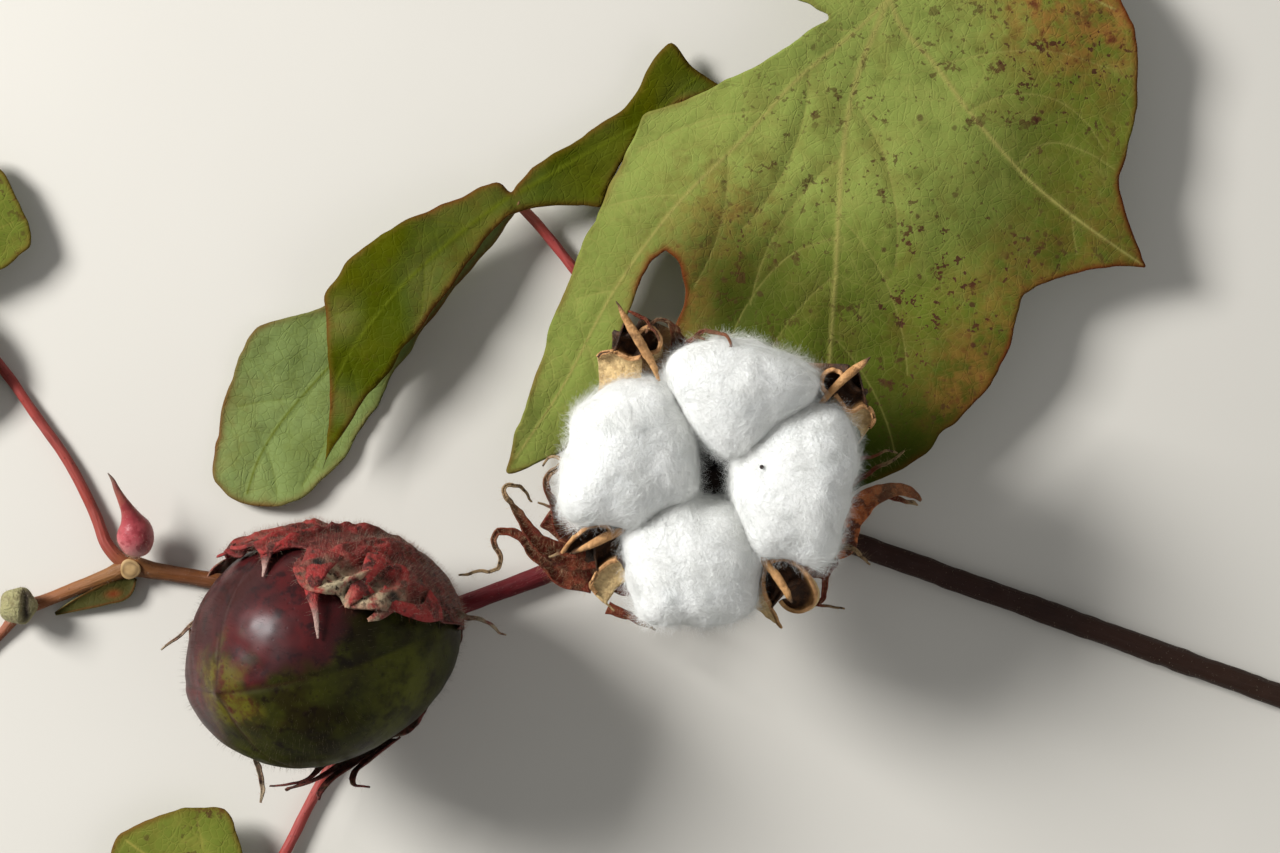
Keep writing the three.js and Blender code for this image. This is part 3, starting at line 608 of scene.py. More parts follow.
# What HAIRS takes for each growth: hairs for each square millimetre, length and thickness, lean from the
# surface's normal, size of the swirls that they follow, depth and size of their curls, and points on each.
GROWTHS = {
    "lint_fibres": (2.9, 4.6, 0.038, 0.93, 6.0, 1.7, 3.5, 5),
    "lint_wisps": (1.3, 2.6, 0.03, 0.45, 4.0, 2.2, 2.0, 5),
    "dried_bract_hairs": (3.0, 1.3, 0.03, 0.15, 3.0, 0.8, 1.0, 3),
    "boll_fuzz": (0.75, 1.2, 0.024, 0.05, 5.0, 0.4, 1.5, 3),
    "red_bract_hairs_upper": (3.3, 1.0, 0.028, 0.25, 3.0, 0.8, 1.2, 3),
    "red_bract_hairs": (1.4, 1.0, 0.028, 0.25, 3.0, 0.8, 1.2, 3),
    "red_bract_pale_hairs": (1.8, 1.3, 0.026, 0.1, 3.0, 0.8, 1.2, 3),
    "pointed_bud_hairs": (1.2, 0.5, 0.03, 0.3, 3.0, 0.3, 1.0, 3),
    "shrivelled_bud_hairs": (2.0, 0.5, 0.04, 0.3, 3.0, 0.4, 1.0, 3),
    "branch_hairs": (0.5, 0.5, 0.035, 0.2, 3.0, 0.3, 1.0, 3),
}


def swirls(tree, size):
    """A vector that wanders smoothly about nothing from place to place, in swirls of the given size."""
    scale = add(tree, "ShaderNodeMath", {"operation": "DIVIDE"}, (1.0, size))
    place = add(tree, "GeometryNodeInputPosition")
    cloud = add(tree, "ShaderNodeTexNoise", inputs={"Vector": place, "Scale": scale, "Detail": 1.0})
    colour = cloud.outputs["Color"]
    return add(tree, "ShaderNodeVectorMath", {"operation": "SUBTRACT"}, (colour, (0.5, 0.5, 0.5)))


def hair_headings(tree, given, normal):
    """Which way each hair starts: from the surface's normal, leant towards a swirling flow along it."""
    spread = {"Min": (-0.12, -0.12, -0.12), "Max": (0.12, 0.12, 0.12), "Seed": given["Seed"]}
    own_turn = add(tree, "FunctionNodeRandomValue", {"data_type": "FLOAT_VECTOR"}, spread)
    flow = swirls(tree, given["Flow size"])
    stirred = add(tree, "ShaderNodeVectorMath", {"operation": "ADD"}, (flow, own_turn))
    combed = add(tree, "ShaderNodeVectorMath", {"operation": "CROSS_PRODUCT"}, (normal, stirred))
    combed = add(tree, "ShaderNodeVectorMath", {"operation": "NORMALIZE"}, (combed,))
    upright = add(tree, "ShaderNodeMath", {"operation": "SUBTRACT"}, (1.0, given["Lean"]))
    flat_part = add(tree, "ShaderNodeVectorMath", {"operation": "SCALE"}, (combed, given["Lean"]))
    up_part = add(tree, "ShaderNodeVectorMath", {"operation": "SCALE"}, (normal, upright))
    return add(tree, "ShaderNodeVectorMath", {"operation": "ADD"}, (flat_part, up_part))


def hair_tree():
    """Curved hairs scattered over a surface, which bend in a noise field and taper to their tips. The
    surface's own value cover thins them out by place."""
    tree = bpy.data.node_groups.new("hairs", "GeometryNodeTree")
    for name, kind in HAIR_INPUTS.items():
        tree.interface.new_socket(name, in_out="INPUT", socket_type=f"NodeSocket{kind}")
    tree.interface.new_socket("Hairs", in_out="OUTPUT", socket_type="NodeSocketGeometry")
    given = add(tree, "NodeGroupInput").outputs

    cover = add(tree, "GeometryNodeInputNamedAttribute", {"data_type": "FLOAT"}, {"Name": "cover"})
    density = add(tree, "ShaderNodeMath", {"operation": "MULTIPLY"}, (given["Density"], cover))
    roots = add(tree, "GeometryNodeDistributePointsOnFaces",
                inputs={"Mesh": given["Surface"], "Density": density, "Seed": given["Seed"]}).outputs
    heading = hair_headings(tree, given, roots["Normal"])
    turned = add(tree, "FunctionNodeAlignRotationToVector", {"axis": "Z"}, {"Vector": heading})
    spread = {"Min": 0.55, "Max": 1.25, "Seed": given["Seed"]}
    length_share = add(tree, "FunctionNodeRandomValue", inputs=spread)
    length = add(tree, "ShaderNodeMath", {"operation": "MULTIPLY"}, (given["Length"], length_share))
    straight = add(tree, "GeometryNodeCurvePrimitiveLine", inputs={"End": (0, 0, 1)})
    stepped = add(tree, "GeometryNodeResampleCurve", inputs={"Curve": straight, "Count": given["Steps"]})
    hairs = add(tree, "GeometryNodeInstanceOnPoints",
                inputs={"Points": roots["Points"], "Instance": stepped, "Rotation": turned, "Scale": length})
    hairs = add(tree, "GeometryNodeRealizeInstances", inputs={"Geometry": hairs})

    share = add(tree, "GeometryNodeSplineParameter").outputs["Factor"]
    pull = add(tree, "ShaderNodeMath", {"operation": "MULTIPLY"}, (share, given["Curl"]))
    bend = add(tree, "ShaderNodeVectorMath", {"operation": "SCALE"}, (swirls(tree, given["Curl size"]), pull))
    hairs = add(tree, "GeometryNodeSetPosition", inputs={"Geometry": hairs, "Offset": bend})
    taper = add(tree, "ShaderNodeMath", {"operation": "MULTIPLY_ADD"}, (share, -0.75, 1.0))
    radius = add(tree, "ShaderNodeMath", {"operation": "MULTIPLY"}, (given["Thickness"], taper))
    section = add(tree, "GeometryNodeCurvePrimitiveCircle", inputs={"Resolution": 3, "Radius": 0.5})
    skins = add(tree, "GeometryNodeCurveToMesh",
                inputs={"Curve": hairs, "Profile Curve": section, "Scale": radius, "Fill Caps": True})
    skins = add(tree, "GeometryNodeRealizeInstances", inputs={"Geometry": skins})
    skins = add(tree, "GeometryNodeSetMaterial", inputs={"Geometry": skins, "Material": given["Finish"]})
    add(tree, "NodeGroupOutput", inputs={"Hairs": skins})
    return tree


HAIRS = hair_tree()


def grow_hairs(name, growth, surface, finish, seed):
    """Hairs on a piece, as a piece of their own that goes with the same solids."""
    density, length, thickness, lean, flow_size, curl, curl_size, steps = GROWTHS[growth]
    values = {
        "Density": density * METRE**2, "Length": length / METRE, "Thickness": thickness / METRE, "Lean": lean,
        "Flow size": flow_size / METRE, "Curl": curl / METRE, "Curl size": curl_size / METRE, "Steps": steps,
        "Seed": seed, "Finish": finish,
    }
    modifier = surface.modifiers.new("hairs", "NODES")
    modifier.node_group = HAIRS
    for item in HAIRS.interface.items_tree:
        if item.name in values:
            modifier[item.identifier] = values[item.name]
    seen = surface.evaluated_get(bpy.context.evaluated_depsgraph_get())
    mesh = bpy.data.meshes.new_from_object(seen)
    surface.modifiers.remove(modifier)
    mesh.name = name
    mesh.shade_smooth()
    hairs = new_object(name, mesh)
    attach(hairs, "root")
    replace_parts(hairs, *surface["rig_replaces"])


# Branch and stalks

# The branch, node by node, its radius at each, and how many times that radius it swells to there.
NODE_1 = (18.8, -14.3)
NODE_2 = (-39.8, -36.1)
NODE_3 = (-96.5, -26.6)
NODE_4 = (-117.4, -34.8)
BRANCH_END = (-126.9, -45.7)
BRANCH_NODES = (tuple(CUT_FACE[:2]), NODE_1, NODE_2, NODE_3, NODE_4, BRANCH_END)
BRANCH_RADII = (2.3, 2.1, 1.75, 1.5, 1.1, 0.5)
KNEE_SWELL = 1.3
# Each stalk: how many points its path has, and the knots of the path.
STALKS = {
    "open_boll_stalk": (90, [(18.8, -14.3, 4.6, 1.9), (18.4, -13.9, 8.0, 1.6), (15.5, -9.5, 11.6, 1.9),
                             (13.1, -6.6, 15.6, 3.2)]),
    "closed_boll_stalk": (90, [(-38.6, -35.8, 3.4, 1.6), (-37.3, -34.8, 6.4, 1.5), (-37.6, -33.4, 10.2, 1.7),
                               (-38.9, -32.9, 12.6, 2.6)]),
    "big_leaf_stalk": (140, [(19.2, -13.2, 2.2, 1.5), (22.4, -2.0, 1.5, 1.2), (28, 12, 1.35, 1.15),
                             (38, 46, 2.4, 1.0), (44.6, 73.1, 8.2, 1.0), (46.4, 78.4, 11.0, 1.0),
                             (46.6, 79.4, 12.0, 0.8)]),
    "second_leaf_stalk": (110, [(17.4, -13.6, 2.2, 1.5), (9.4, -1.8, 1.5, 1.2), (2, 9, 1.35, 1.15),
                                (-12.3, 29.6, 1.8, 1.0), (-22.0, 41.0, 5.4, 0.9), (-23.4, 42.2, 7.6, 0.8)]),
    "left_leaf_stalk": (130, [(-97.2, -26.4, 2.0, 1.5), (-100.4, -23.4, 2.2, 1.3), (-103.6, -16.2, 1.6, 1.1),
                              (-108.8, -6.3, 1.3, 1.0), (-114.8, 2.2, 1.3, 1.0), (-120.8, 10.7, 1.4, 1.0),
                              (-134.0, 24.4, 4.6, 1.0), (-136.8, 26.8, 6.9, 0.9)]),
    "lower_leaf_stalk": (110, [(-40.6, -36.8, 2.0, 1.5), (-49.5, -51.0, 1.4, 1.1), (-59.5, -65.8, 1.3, 1.05),
                               (-67.4, -80.9, 1.8, 1.05), (-74.8, -94.6, 5.0, 1.0),
                               (-76.0, -96.8, 7.0, 1.0)]),
}


def stem_shape(knots, count, sides=14):
    """A stem along knots of place and radius, with a slightly uneven skin."""
    path = smooth_path(knots, count)
    points, faces, share, skin = tube(path, sides)
    middles = np.concatenate([np.repeat(path[:, :3], sides, axis=0), path[[0, -1], :3]])
    out = points - middles
    lumps = 0.06 * noise(points, 2.2, 3) + 0.06 * noise(points, 6, 4)
    points = middles + out * (1 + lumps)[:, None]
    points[:, 2] = np.maximum(points[:, 2], 0)
    return points, faces, {"along": share, "skin": skin, "cover": soft_step(out[:, 2], -0.2, 0.4)}


def leaf_scar():
    """The pale scar of a dropped leaf at the third node, with a darker ring in it."""

    def surface(turn, rise):
        over = math.pi * rise
        wavy = 1 + 0.05 * np.cos(6 * math.pi * turn)
        return round_axis(1.95 * np.sin(over) * wavy, turn * 360, -0.4 * np.cos(over))

    points, faces = round_body(surface, 32, 16)
    ring = bell(np.hypot(points[:, 0], points[:, 1]) - 1.3, 0.25)
    uneven = points + 0.06 * noise(points, 0.8, 5)[:, None]
    return placed(uneven, frame_at((-96.4, -27.0, 4.0), (0, -0.2, 1))), faces, {"scar": 1 - 0.5 * ring}


def add_branch(finish):
    """One continuous branch: straight between its nodes and swollen at each."""
    knots = []
    for index, (start, end) in enumerate(zip(BRANCH_NODES, BRANCH_NODES[1:])):
        start, end = np.array(start), np.array(end)
        length = np.linalg.norm(end - start)
        for part in np.linspace(0, 1, round(length / 4.5), endpoint=False):
            to_knee = length * (min(part, 1 - part) if index else 1 - part)
            radius = mix(BRANCH_RADII[index], BRANCH_RADII[index + 1], part)
            radius *= 1 + (KNEE_SWELL - 1) * bell(to_knee, 3.5)
            knots.append([*mix(start, end, part), radius, radius])
    knots.append([*BRANCH_END, BRANCH_RADII[-1], BRANCH_RADII[-1]])
    branch = stem_shape(knots, 520, sides=20)
    # The pale wood of its cut face.
    branch[2]["scar"] = np.zeros(len(branch[0]))
    branch[2]["scar"][-2] = 1
    nodes = ("branch_foot", "branch_middle", "branch_outer", "branch_upper", "branch_tip")
    return make_piece("branch_wood", joined([branch, leaf_scar()]), finish, nodes)


def add_stalks(petiole, pedicel):
    for name, (count, knots) in STALKS.items():
        finish = petiole if "leaf" in name else pedicel
        make_piece(name.replace("stalk", "stem"), stem_shape(knots, count), finish, (name,))


# Open boll

# The open boll's own frame.
OPEN_BASE = (13, -6.5, 16)
OPEN_TILT = 10
OPEN_LEAN = math.radians(OPEN_TILT)
OPEN_FRAME = frame_at(OPEN_BASE, (0, -math.sin(OPEN_LEAN), math.cos(OPEN_LEAN)))
# Each lock of lint: its middle, and how far it reaches from there every 15 degrees, from +X towards +Y.
LOCKS = {
    "top": ((17.6, 6.7, 38.3), (14.9, 15.2, 12.0, 10.2, 9.5, 9.2, 9.4, 9.9, 10.5, 11.9, 14.1, 14.8, 13.4,
                                11.9, 11.4, 11.7, 12.1, 12.8, 13.1, 11.8, 10.9, 10.8, 11.4, 14.2)),
    "left": ((-2.8, -4.9, 36.6), (14.2, 14.6, 14.6, 15.1, 15.9, 15.2, 14.7, 13.2, 12.7, 12.6, 11.6, 11.1,
                                  11.2, 12.2, 14.3, 15.9, 16.4, 13.5, 14.5, 14.4, 13.8, 14.4, 15.6, 14.7)),
    "right": ((28.7, -10.9, 36.6), (9.9, 11.0, 12.7, 14.9, 15.9, 16.8, 15.6, 15.2, 15.0, 14.7, 14.4, 14.2,
                                    13.9, 13.9, 13.5, 14.0, 15.0, 13.5, 14.0, 15.5, 13.3, 11.2, 10.1, 9.7)),
    "bottom": ((9.2, -25.1, 33.1), (13.5, 14.4, 14.2, 14.7, 15.3, 13.6, 14.8, 15.4, 14.9, 15.4, 15.0, 13.6,
                                    13.0, 12.6, 13.0, 13.5, 12.7, 11.3, 11.1, 11.9, 12.5, 13.8, 13.7, 13.4)),
}
# Half a lock's height, how much it draws in below, how square its sections are (2 is round), and how many
# waves round it its reaches are drawn with.
LOCK_RISE = 15.2
LOCK_TAPER = 0.3
LOCK_EXPONENT = 2.45
LOCK_WAVES = 8
# Each valve: its angle round the boll, the reach and height of its wall, and its spike with a radius at each
# knot. Of each wing, rim is its rolled edge, beside the stretch of the spike that it faces, hollow the share
# of it that has a trough behind the rim, skirt what hangs from the rim, and taper how far the skirt and the
# roll of the rim shrink towards its end.
VALVES = {
    "upper_left": {
        "angle": 117.5, "tip": 36.5, "height": 27,
        "spike": [(3.4, 8.1, 44.0, 0.3), (2.3, 10.9, 44.8, 0.62), (0.9, 13.4, 45.7, 0.85),
                  (-0.5, 15.7, 46.5, 0.85), (-1.8, 17.8, 46.8, 0.75), (-3.0, 19.9, 47.2, 0.5),
                  (-4.2, 22.2, 47.5, 0.1)],
        "wings": [
            {
                "rim": [(0.2, 12.4, 44.5), (-1.1, 12.1, 44.5), (-2.3, 12.2, 44.5), (-3.6, 12.6, 44.5),
                        (-4.6, 13.2, 44.4), (-5.7, 13.3, 44.1), (-6.8, 13.1, 43.8), (-7.5, 12.4, 43.5)],
                "beside": (0.35, 0.85), "hollow": 0.62, "skirt": (0.2, -6.2, -4.2),
            },
            {
                "rim": [(-0.7, 15.7, 46.0), (0.0, 16.9, 46.0), (1.1, 17.6, 46.0), (2.3, 17.5, 46.0),
                        (3.4, 16.4, 45.7), (3.8, 15.0, 45.1), (3.2, 13.6, 44.6), (1.8, 13.1, 44.0)],
                "beside": (0.5, 0.25), "hollow": 1.0, "skirt": (0.3, -1.2, -6.0),
            },
        ],
    },
    "upper_right": {
        "angle": 37, "tip": 36, "height": 27,
        "spike": [(31.5, 3.2, 42.5, 0.3), (32.6, 4.5, 43.2, 0.5), (33.8, 6.0, 43.9, 0.62),
                  (35.0, 7.3, 44.6, 0.7), (36.3, 8.6, 45.2, 0.78), (37.8, 9.9, 45.6, 0.8),
                  (39.4, 11.1, 46.1, 0.6), (40.8, 12.3, 46.5, 0.12)],
        "wings": [
            {
                "rim": [(33.3, 6.0, 44.0), (32.5, 6.7, 44.1), (32.3, 7.9, 44.3), (32.6, 9.2, 44.4),
                        (33.6, 9.9, 44.6), (34.8, 10.0, 44.7), (35.8, 9.6, 44.9), (36.4, 8.8, 45.0)],
                "beside": (0.3, 0.58), "hollow": 1.0, "skirt": (-0.8, -0.4, -6.0),
            },
            {
                "rim": [(34.9, 5.8, 43.0), (35.8, 4.4, 43.0), (36.9, 3.0, 43.0), (37.9, 2.7, 43.0),
                        (38.8, 3.1, 43.0), (39.8, 3.5, 42.7), (40.9, 3.2, 42.0), (41.6, 2.2, 41.3),
                        (41.8, 1.0, 40.7), (41.0, -0.3, 40.0)],
                "beside": (0.42, 0.85), "hollow": 0.62, "skirt": (-2.0, -3.0, -3.4),
            },
        ],
    },
    "lower_right": {
        "angle": -55, "tip": 27, "height": 29,
        "spike": [(20.5, -21.4, 40.0, 0.3), (21.6, -23.2, 40.8, 0.62), (22.9, -24.9, 41.7, 0.75),
                  (24.2, -26.5, 42.5, 0.78), (25.6, -28.6, 42.7, 0.68), (26.6, -30.4, 42.8, 0.5),
                  (27.1, -31.4, 43.0, 0.2)],
        "wings": [
            {
                "rim": [(22.2, -23.9, 41.0), (22.2, -26.0, 40.3), (22.0, -28.0, 39.7), (22.4, -30.2, 39.0),
                        (23.3, -32.3, 37.3), (24.3, -34.3, 35.7), (25.3, -36.5, 34.0)],
                "beside": (0.2, 0.9), "hollow": 0.68, "skirt": (-2.6, -1.0, -5.0), "taper": 0.9,
            },
            {
                "rim": [(23.2, -24.2, 41.5), (24.6, -23.9, 41.1), (26.8, -24.0, 40.8), (28.4, -25.1, 40.4),
                        (30.1, -26.8, 40.0), (31.4, -28.6, 39.0), (31.8, -30.4, 38.0), (30.9, -32.3, 37.0),
                        (29.4, -33.2, 36.0), (27.8, -33.2, 35.6), (26.4, -32.6, 35.4), (25.1, -31.5, 36.0)],
                "beside": (0.25, 0.95), "hollow": 1.0, "skirt": (0.9, -0.4, -7.0), "taper": 0.6,
            },
        ],
    },
    "lower_left": {
        "angle": 205, "tip": 30, "height": 28,
        "spike": [(-1.3, -17.5, 40.0, 0.3), (-3.6, -18.7, 41.0, 0.7), (-6.1, -19.7, 42.0, 0.85),
                  (-8.6, -21.0, 42.4, 0.72), (-10.7, -22.0, 42.2, 0.42), (-11.9, -22.7, 42.0, 0.1)],
        "wings": [
            {
                "rim": [(-5.0, -19.0, 42.0), (-6.1, -17.9, 42.0), (-7.7, -17.5, 42.0), (-9.3, -17.9, 42.0),
                        (-10.9, -19.1, 41.3), (-12.5, -20.6, 40.7), (-13.9, -22.6, 40.0)],
                "beside": (0.42, 1.0), "hollow": 1.0, "skirt": (0.4, 0.9, -6.0),
            },
            {
                "rim": [(-4.1, -23.9, 41.0), (-5.2, -24.2, 40.3), (-6.4, -25.0, 39.7), (-7.4, -25.9, 39.0),
                        (-8.3, -27.4, 37.7), (-8.9, -28.7, 36.3), (-7.8, -30.2, 35.0)],
                "beside": (0.3, 0.75), "hollow": 0.45, "skirt": (3.0, -3.4, -3.2),
            },
        ],
    },
}
# How far from the boll's axis the walls start, and half their width where they are widest.
WALL_FOOT = 3.9
WALL_HALF_WIDTH = 9.0
# A wall ends this far short of its valve's tip.
WALL_SHORT = 5


def wall_rise(share, height):
    return 0.9 + (height - 3) * share**1.7


def wall_half(share):
    fullness = np.sin(math.pi * share**0.9 * 0.94) * (1 - 0.55 * share**6)
    return mix(2.3, WALL_HALF_WIDTH, fullness)


def valve_wall(valve):
    """The woody wall of a valve, from the foot of the boll up to its wings."""
    share, across = grid_places(44, 33)
    out = mix(WALL_FOOT, valve["tip"] - WALL_SHORT, share**0.85)
    turn = across * wall_half(share) / (out + 1)
    curl = across**2 * share
    height = wall_rise(share, valve["height"]) - 1.8 * curl
    local = round_axis(out + 1.6 * curl, valve["angle"] + np.degrees(turn), height)
    ridge = bell(across * wall_half(share), 0.7) * 0.35
    local[:, 2] -= ridge + 0.25 * noise(local, 2.5, 5) + 0.12 * noise(local * (1, 1, 0.4), 1.0, 6)
    points, faces, back = thickened(placed(local, OPEN_FRAME), grid_faces(44, 33), 0.7)
    # Painted shade: the hollow's dark colour over one face of the wall, more on its upper part, and all over
    # its end, where it shows in the troughs.
    edge = np.tile(soft_step(np.abs(across), 0.9, 1.0), 2)
    upper = np.tile(soft_step(share, 0.55, 0.75), 2)
    shaded_end = np.tile(soft_step(share, 0.78, 0.9), 2)
    hollow = np.maximum(0.6 * (1 - back) + 0.3 * upper, shaded_end)
    return points, faces, {"hollow": hollow, "rim": edge * 0.7 * (1 - upper)}


def valve_spike(valve):
    """The hard pointed ridge of a valve, darker at its very tip."""
    path = smooth_path(valve["spike"], 60)
    points, faces, along, _ = tube(path, 16, flat=0.85)
    streaks = noise(points * (1, 1, 0.5), 0.9, 8) + 0.5 * noise(points, 0.45, 9)
    points = points + 0.07 * streaks[:, None]
    dark = soft_step(along, 0.86, 0.97) + 0.5 * soft_step(noise(points, 1.6, 10), 0.25, 0.6)
    return points, faces, {"tip": np.clip(dark, 0, 1), "rim": np.full(len(points), 0.55)}


def wing_inner_edge(valve, wing, rim):
    """The inner edge of a wing, along its stretch of the spike, and 1 where the wing has a trough."""
    spike = smooth_path(valve["spike"], 100)[:, :3]
    share = np.linspace(0, 1, len(rim))
    faced = mix(*wing["beside"], np.minimum(1, share / wing["hollow"])) * 99
    beside = spike[faced.round().astype(int)] - (0, 0, 0.4)
    open_part = np.ones(len(rim))
    if wing["hollow"] < 1:
        open_part = 1 - soft_step(share, wing["hollow"] - 0.1, wing["hollow"])
    return rim + (beside - rim) * open_part[:, None], open_part


def valve_wing(valve, wing, seed):
    """A wing of a valve: a dark trough beside the spike, a rolled rim and a papery skirt under it."""
    columns, rows = 72, 44
    rim = smooth_path(wing["rim"], columns)
    beside, open_part = wing_inner_edge(valve, wing, rim)
    depth = np.minimum(3.6, 0.9 * np.linalg.norm(beside - rim, axis=1) + 0.4) * open_part
    taper = wing.get("taper", 0) * soft_step(np.linspace(0, 1, columns), 0.5, 1)
    fall = np.array(wing["skirt"], float) * (1 - taper)[:, None]
    local = []
    for v in np.linspace(0, 1, rows):
        if v < 0.5:
            row = mix(beside, rim, soft_step(v, 0, 0.5) * 0.35 + v * 1.3)
            row[:, 2] -= depth * math.sin(math.pi * v / 0.5) ** 0.7
        else:
            part = (v - 0.5) / 0.5
            row = rim + fall * part
            row[:, :2] -= fall[:, :2] * 0.35 * math.sin(math.pi * part)
        local.append(row)
    local = np.array(local)
    wear = 0.3 * noise(local, 2.4, seed) + 0.12 * noise(local, 0.9, seed + 1)
    local += wear[..., None] * np.linspace(0.25, 1, rows)[:, None, None]
    v = np.repeat(np.linspace(0, 1, rows), columns)
    roll = bell(v - 0.5, 0.05)
    points, faces, _ = thickened(local.reshape(-1, 3), grid_faces(rows, columns), mix(0.3, 0.8, roll))
    v, roll = np.tile(v, 2), np.tile(roll, 2)
    return points, faces, {
        # The trough: partly its own dark brown, partly painted shade.
        "hollow": 1 - soft_step(v, 0.38, 0.47),
        "rim": roll * (1 - np.tile(taper, 2 * rows)),
        "papery": soft_step(v, 0.53, 0.62) * 0.85,
    }


def boll_core():
    """The woody middle of the boll, which the four locks grew against: a cone with four ridges."""

    def core(turn, rise):
        around = turn * 2 * math.pi
        out = mix(9.5, 2.2, rise**0.5) * (1 + 0.14 * np.cos(4 * (around - math.radians(30))))
        return round_axis(np.where((rise <= 0) | (rise >= 1), 0, out), turn * 360, 1.5 + rise * 20)

    points, faces = round_body(core, 64, 40)
    points = points + 0.4 * noise(points, 2.0, 11)[:, None]
    # Near black: partly its own dark brown and partly painted shade in the gap between the locks.
    values = {"hollow": np.full(len(points), 0.92), "core": np.ones(len(points))}
    return placed(points, OPEN_FRAME), faces, values


def add_valves(finish):
    for number, (name, valve) in enumerate(VALVES.items()):
        wings = [valve_wing(valve, wing, 12 + number + 5 * k) for k, wing in enumerate(valve["wings"])]
        core = [boll_core()] if name == "lower_left" else []
        shape = joined([valve_wall(valve), valve_spike(valve), *wings, *core])
        make_piece(f"woody_valve_{name}", shape, finish, (f"burr_valve_{name}",))


def swell(value):
    return np.sign(value) * np.abs(value) ** (2 / LOCK_EXPONENT)


def round_reach(reaches, around):
    """A smooth reach at any angle, from reaches that are evenly spaced round the circle."""
    parts = np.fft.rfft(reaches)[: LOCK_WAVES + 1] / len(reaches)
    total = np.full(np.shape(around), parts[0].real)
    for k in range(1, len(parts)):
        total = total + 2 * (parts[k] * np.exp(1j * k * around)).real
    return total


def lock_shape(middle, reaches, seed):
    """One lock of lint: a soft pillow between two valves, which draws in towards the boll's axis below."""
    middle = np.array(middle, float)
    inward = np.array(OPEN_BASE[:2]) - middle[:2]

    def surface(turn, rise):
        around, up = turn * 2 * math.pi, (rise - 0.5) * math.pi
        level = swell(np.sin(up))
        waist = 1 - LOCK_TAPER * (0.5 - 0.5 * level) ** 2
        out = round_reach(reaches, around) * swell(np.cos(up)) * waist
        local = round_axis(out, np.degrees(around), LOCK_RISE * level)
        lump = 0.6 * noise(local, 8, seed) + 0.22 * noise(local, 3.2, seed + 1)
        lump += 0.06 * noise(local, 1.3, seed + 2)
        local = local + unit(local) * lump[:, None]
        drawn = 0.22 * soft_step(-level, 0.0, 1.0)
        local[:, :2] += inward * drawn[:, None]
        return local + middle

    points, faces = round_body(surface, 144, 96)
    points = placed(above_walls((points - OPEN_FRAME[0]) @ OPEN_FRAME[1].T), OPEN_FRAME)
    cover = 0.25 + 0.75 * soft_step(points[:, 2], middle[2] - 10, middle[2] - 2)
    return points, faces, {"cover": cover}


def above_walls(local):
    """Lint rests on the walls of the valves: what would lie under a wall is lifted onto it."""
    local = local.copy()
    distance = np.hypot(local[:, 0], local[:, 1])
    bearing = np.degrees(np.arctan2(local[:, 1], local[:, 0]))
    for valve in VALVES.values():
        span = valve["tip"] - WALL_SHORT - WALL_FOOT
        share = np.clip((distance - WALL_FOOT) / span, 0, 1.05) ** (1 / 0.85)
        off = np.abs((bearing - valve["angle"] + 180) % 360 - 180)
        width = np.degrees(wall_half(np.clip(share, 0, 1)) / (distance + 1))
        near = 1 - soft_step(off, width, width * 1.25 + 2)
        floor = wall_rise(share, valve["height"]) + 0.7
        local[:, 2] += np.maximum(floor - local[:, 2], 0) * near * (share < 1.04)
    return local


def crumb_on(lock, place):
    """A crumb of dry leaf caught in the lint, at that place on a lock's upper side."""
    upper = lock[lock[:, 2] > 44]
    seat = upper[np.argmin(np.hypot(*(upper[:, :2] - place).T))] + (0, 0, 0.7)

    def crumb(turn, rise):
        return seat + round_axis(0.4 * np.sin(math.pi * rise), turn * 360, -0.3 * np.cos(math.pi * rise))

    points, faces = round_body(crumb, 12, 8)
    return points, faces, {"crumb": np.ones(len(points))}


def add_locks(finish, fibre_finish):
    for number, (name, (middle, reaches)) in enumerate(LOCKS.items()):
        shape = lock_shape(middle, reaches, 20 + 4 * number)
        if name == "right":
            shape = joined([shape, crumb_on(shape[0], (21.6, -7.1))])
        lock = make_piece(f"lint_body_{name}", shape, finish, (f"lint_lock_{name}",))
        grow_hairs(f"lint_fibres_{name}", "lint_fibres", lock, fibre_finish, 31 + number)
        grow_hairs(f"lint_wisps_{name}", "lint_wisps", lock, fibre_finish, 41 + number)


# The dried bracts' usual reach from the boll's axis, and the angle of each round the boll.
BRACT_REACH = 33
OPEN_BRACT_ANGLES = {"lower_left": 203, "right": -16, "top": 98}
# How far the broad foot of each dried bract reaches, in degrees from its middle line and millimetres.
OPEN_BRACT_REACH = {
    "lower_left": [(-46, 22), (-20, 27), (-9, 31), (-3, 34.5), (10, 32.5), (23, 33), (42, 31), (46, 28)],
    "right": [(-46, 26), (-32, 32), (-22, 31), (-12, 28), (0, 26), (20, 24), (46, 20)],
    "top": [(-46, 20), (0, 23), (46, 20)],
}
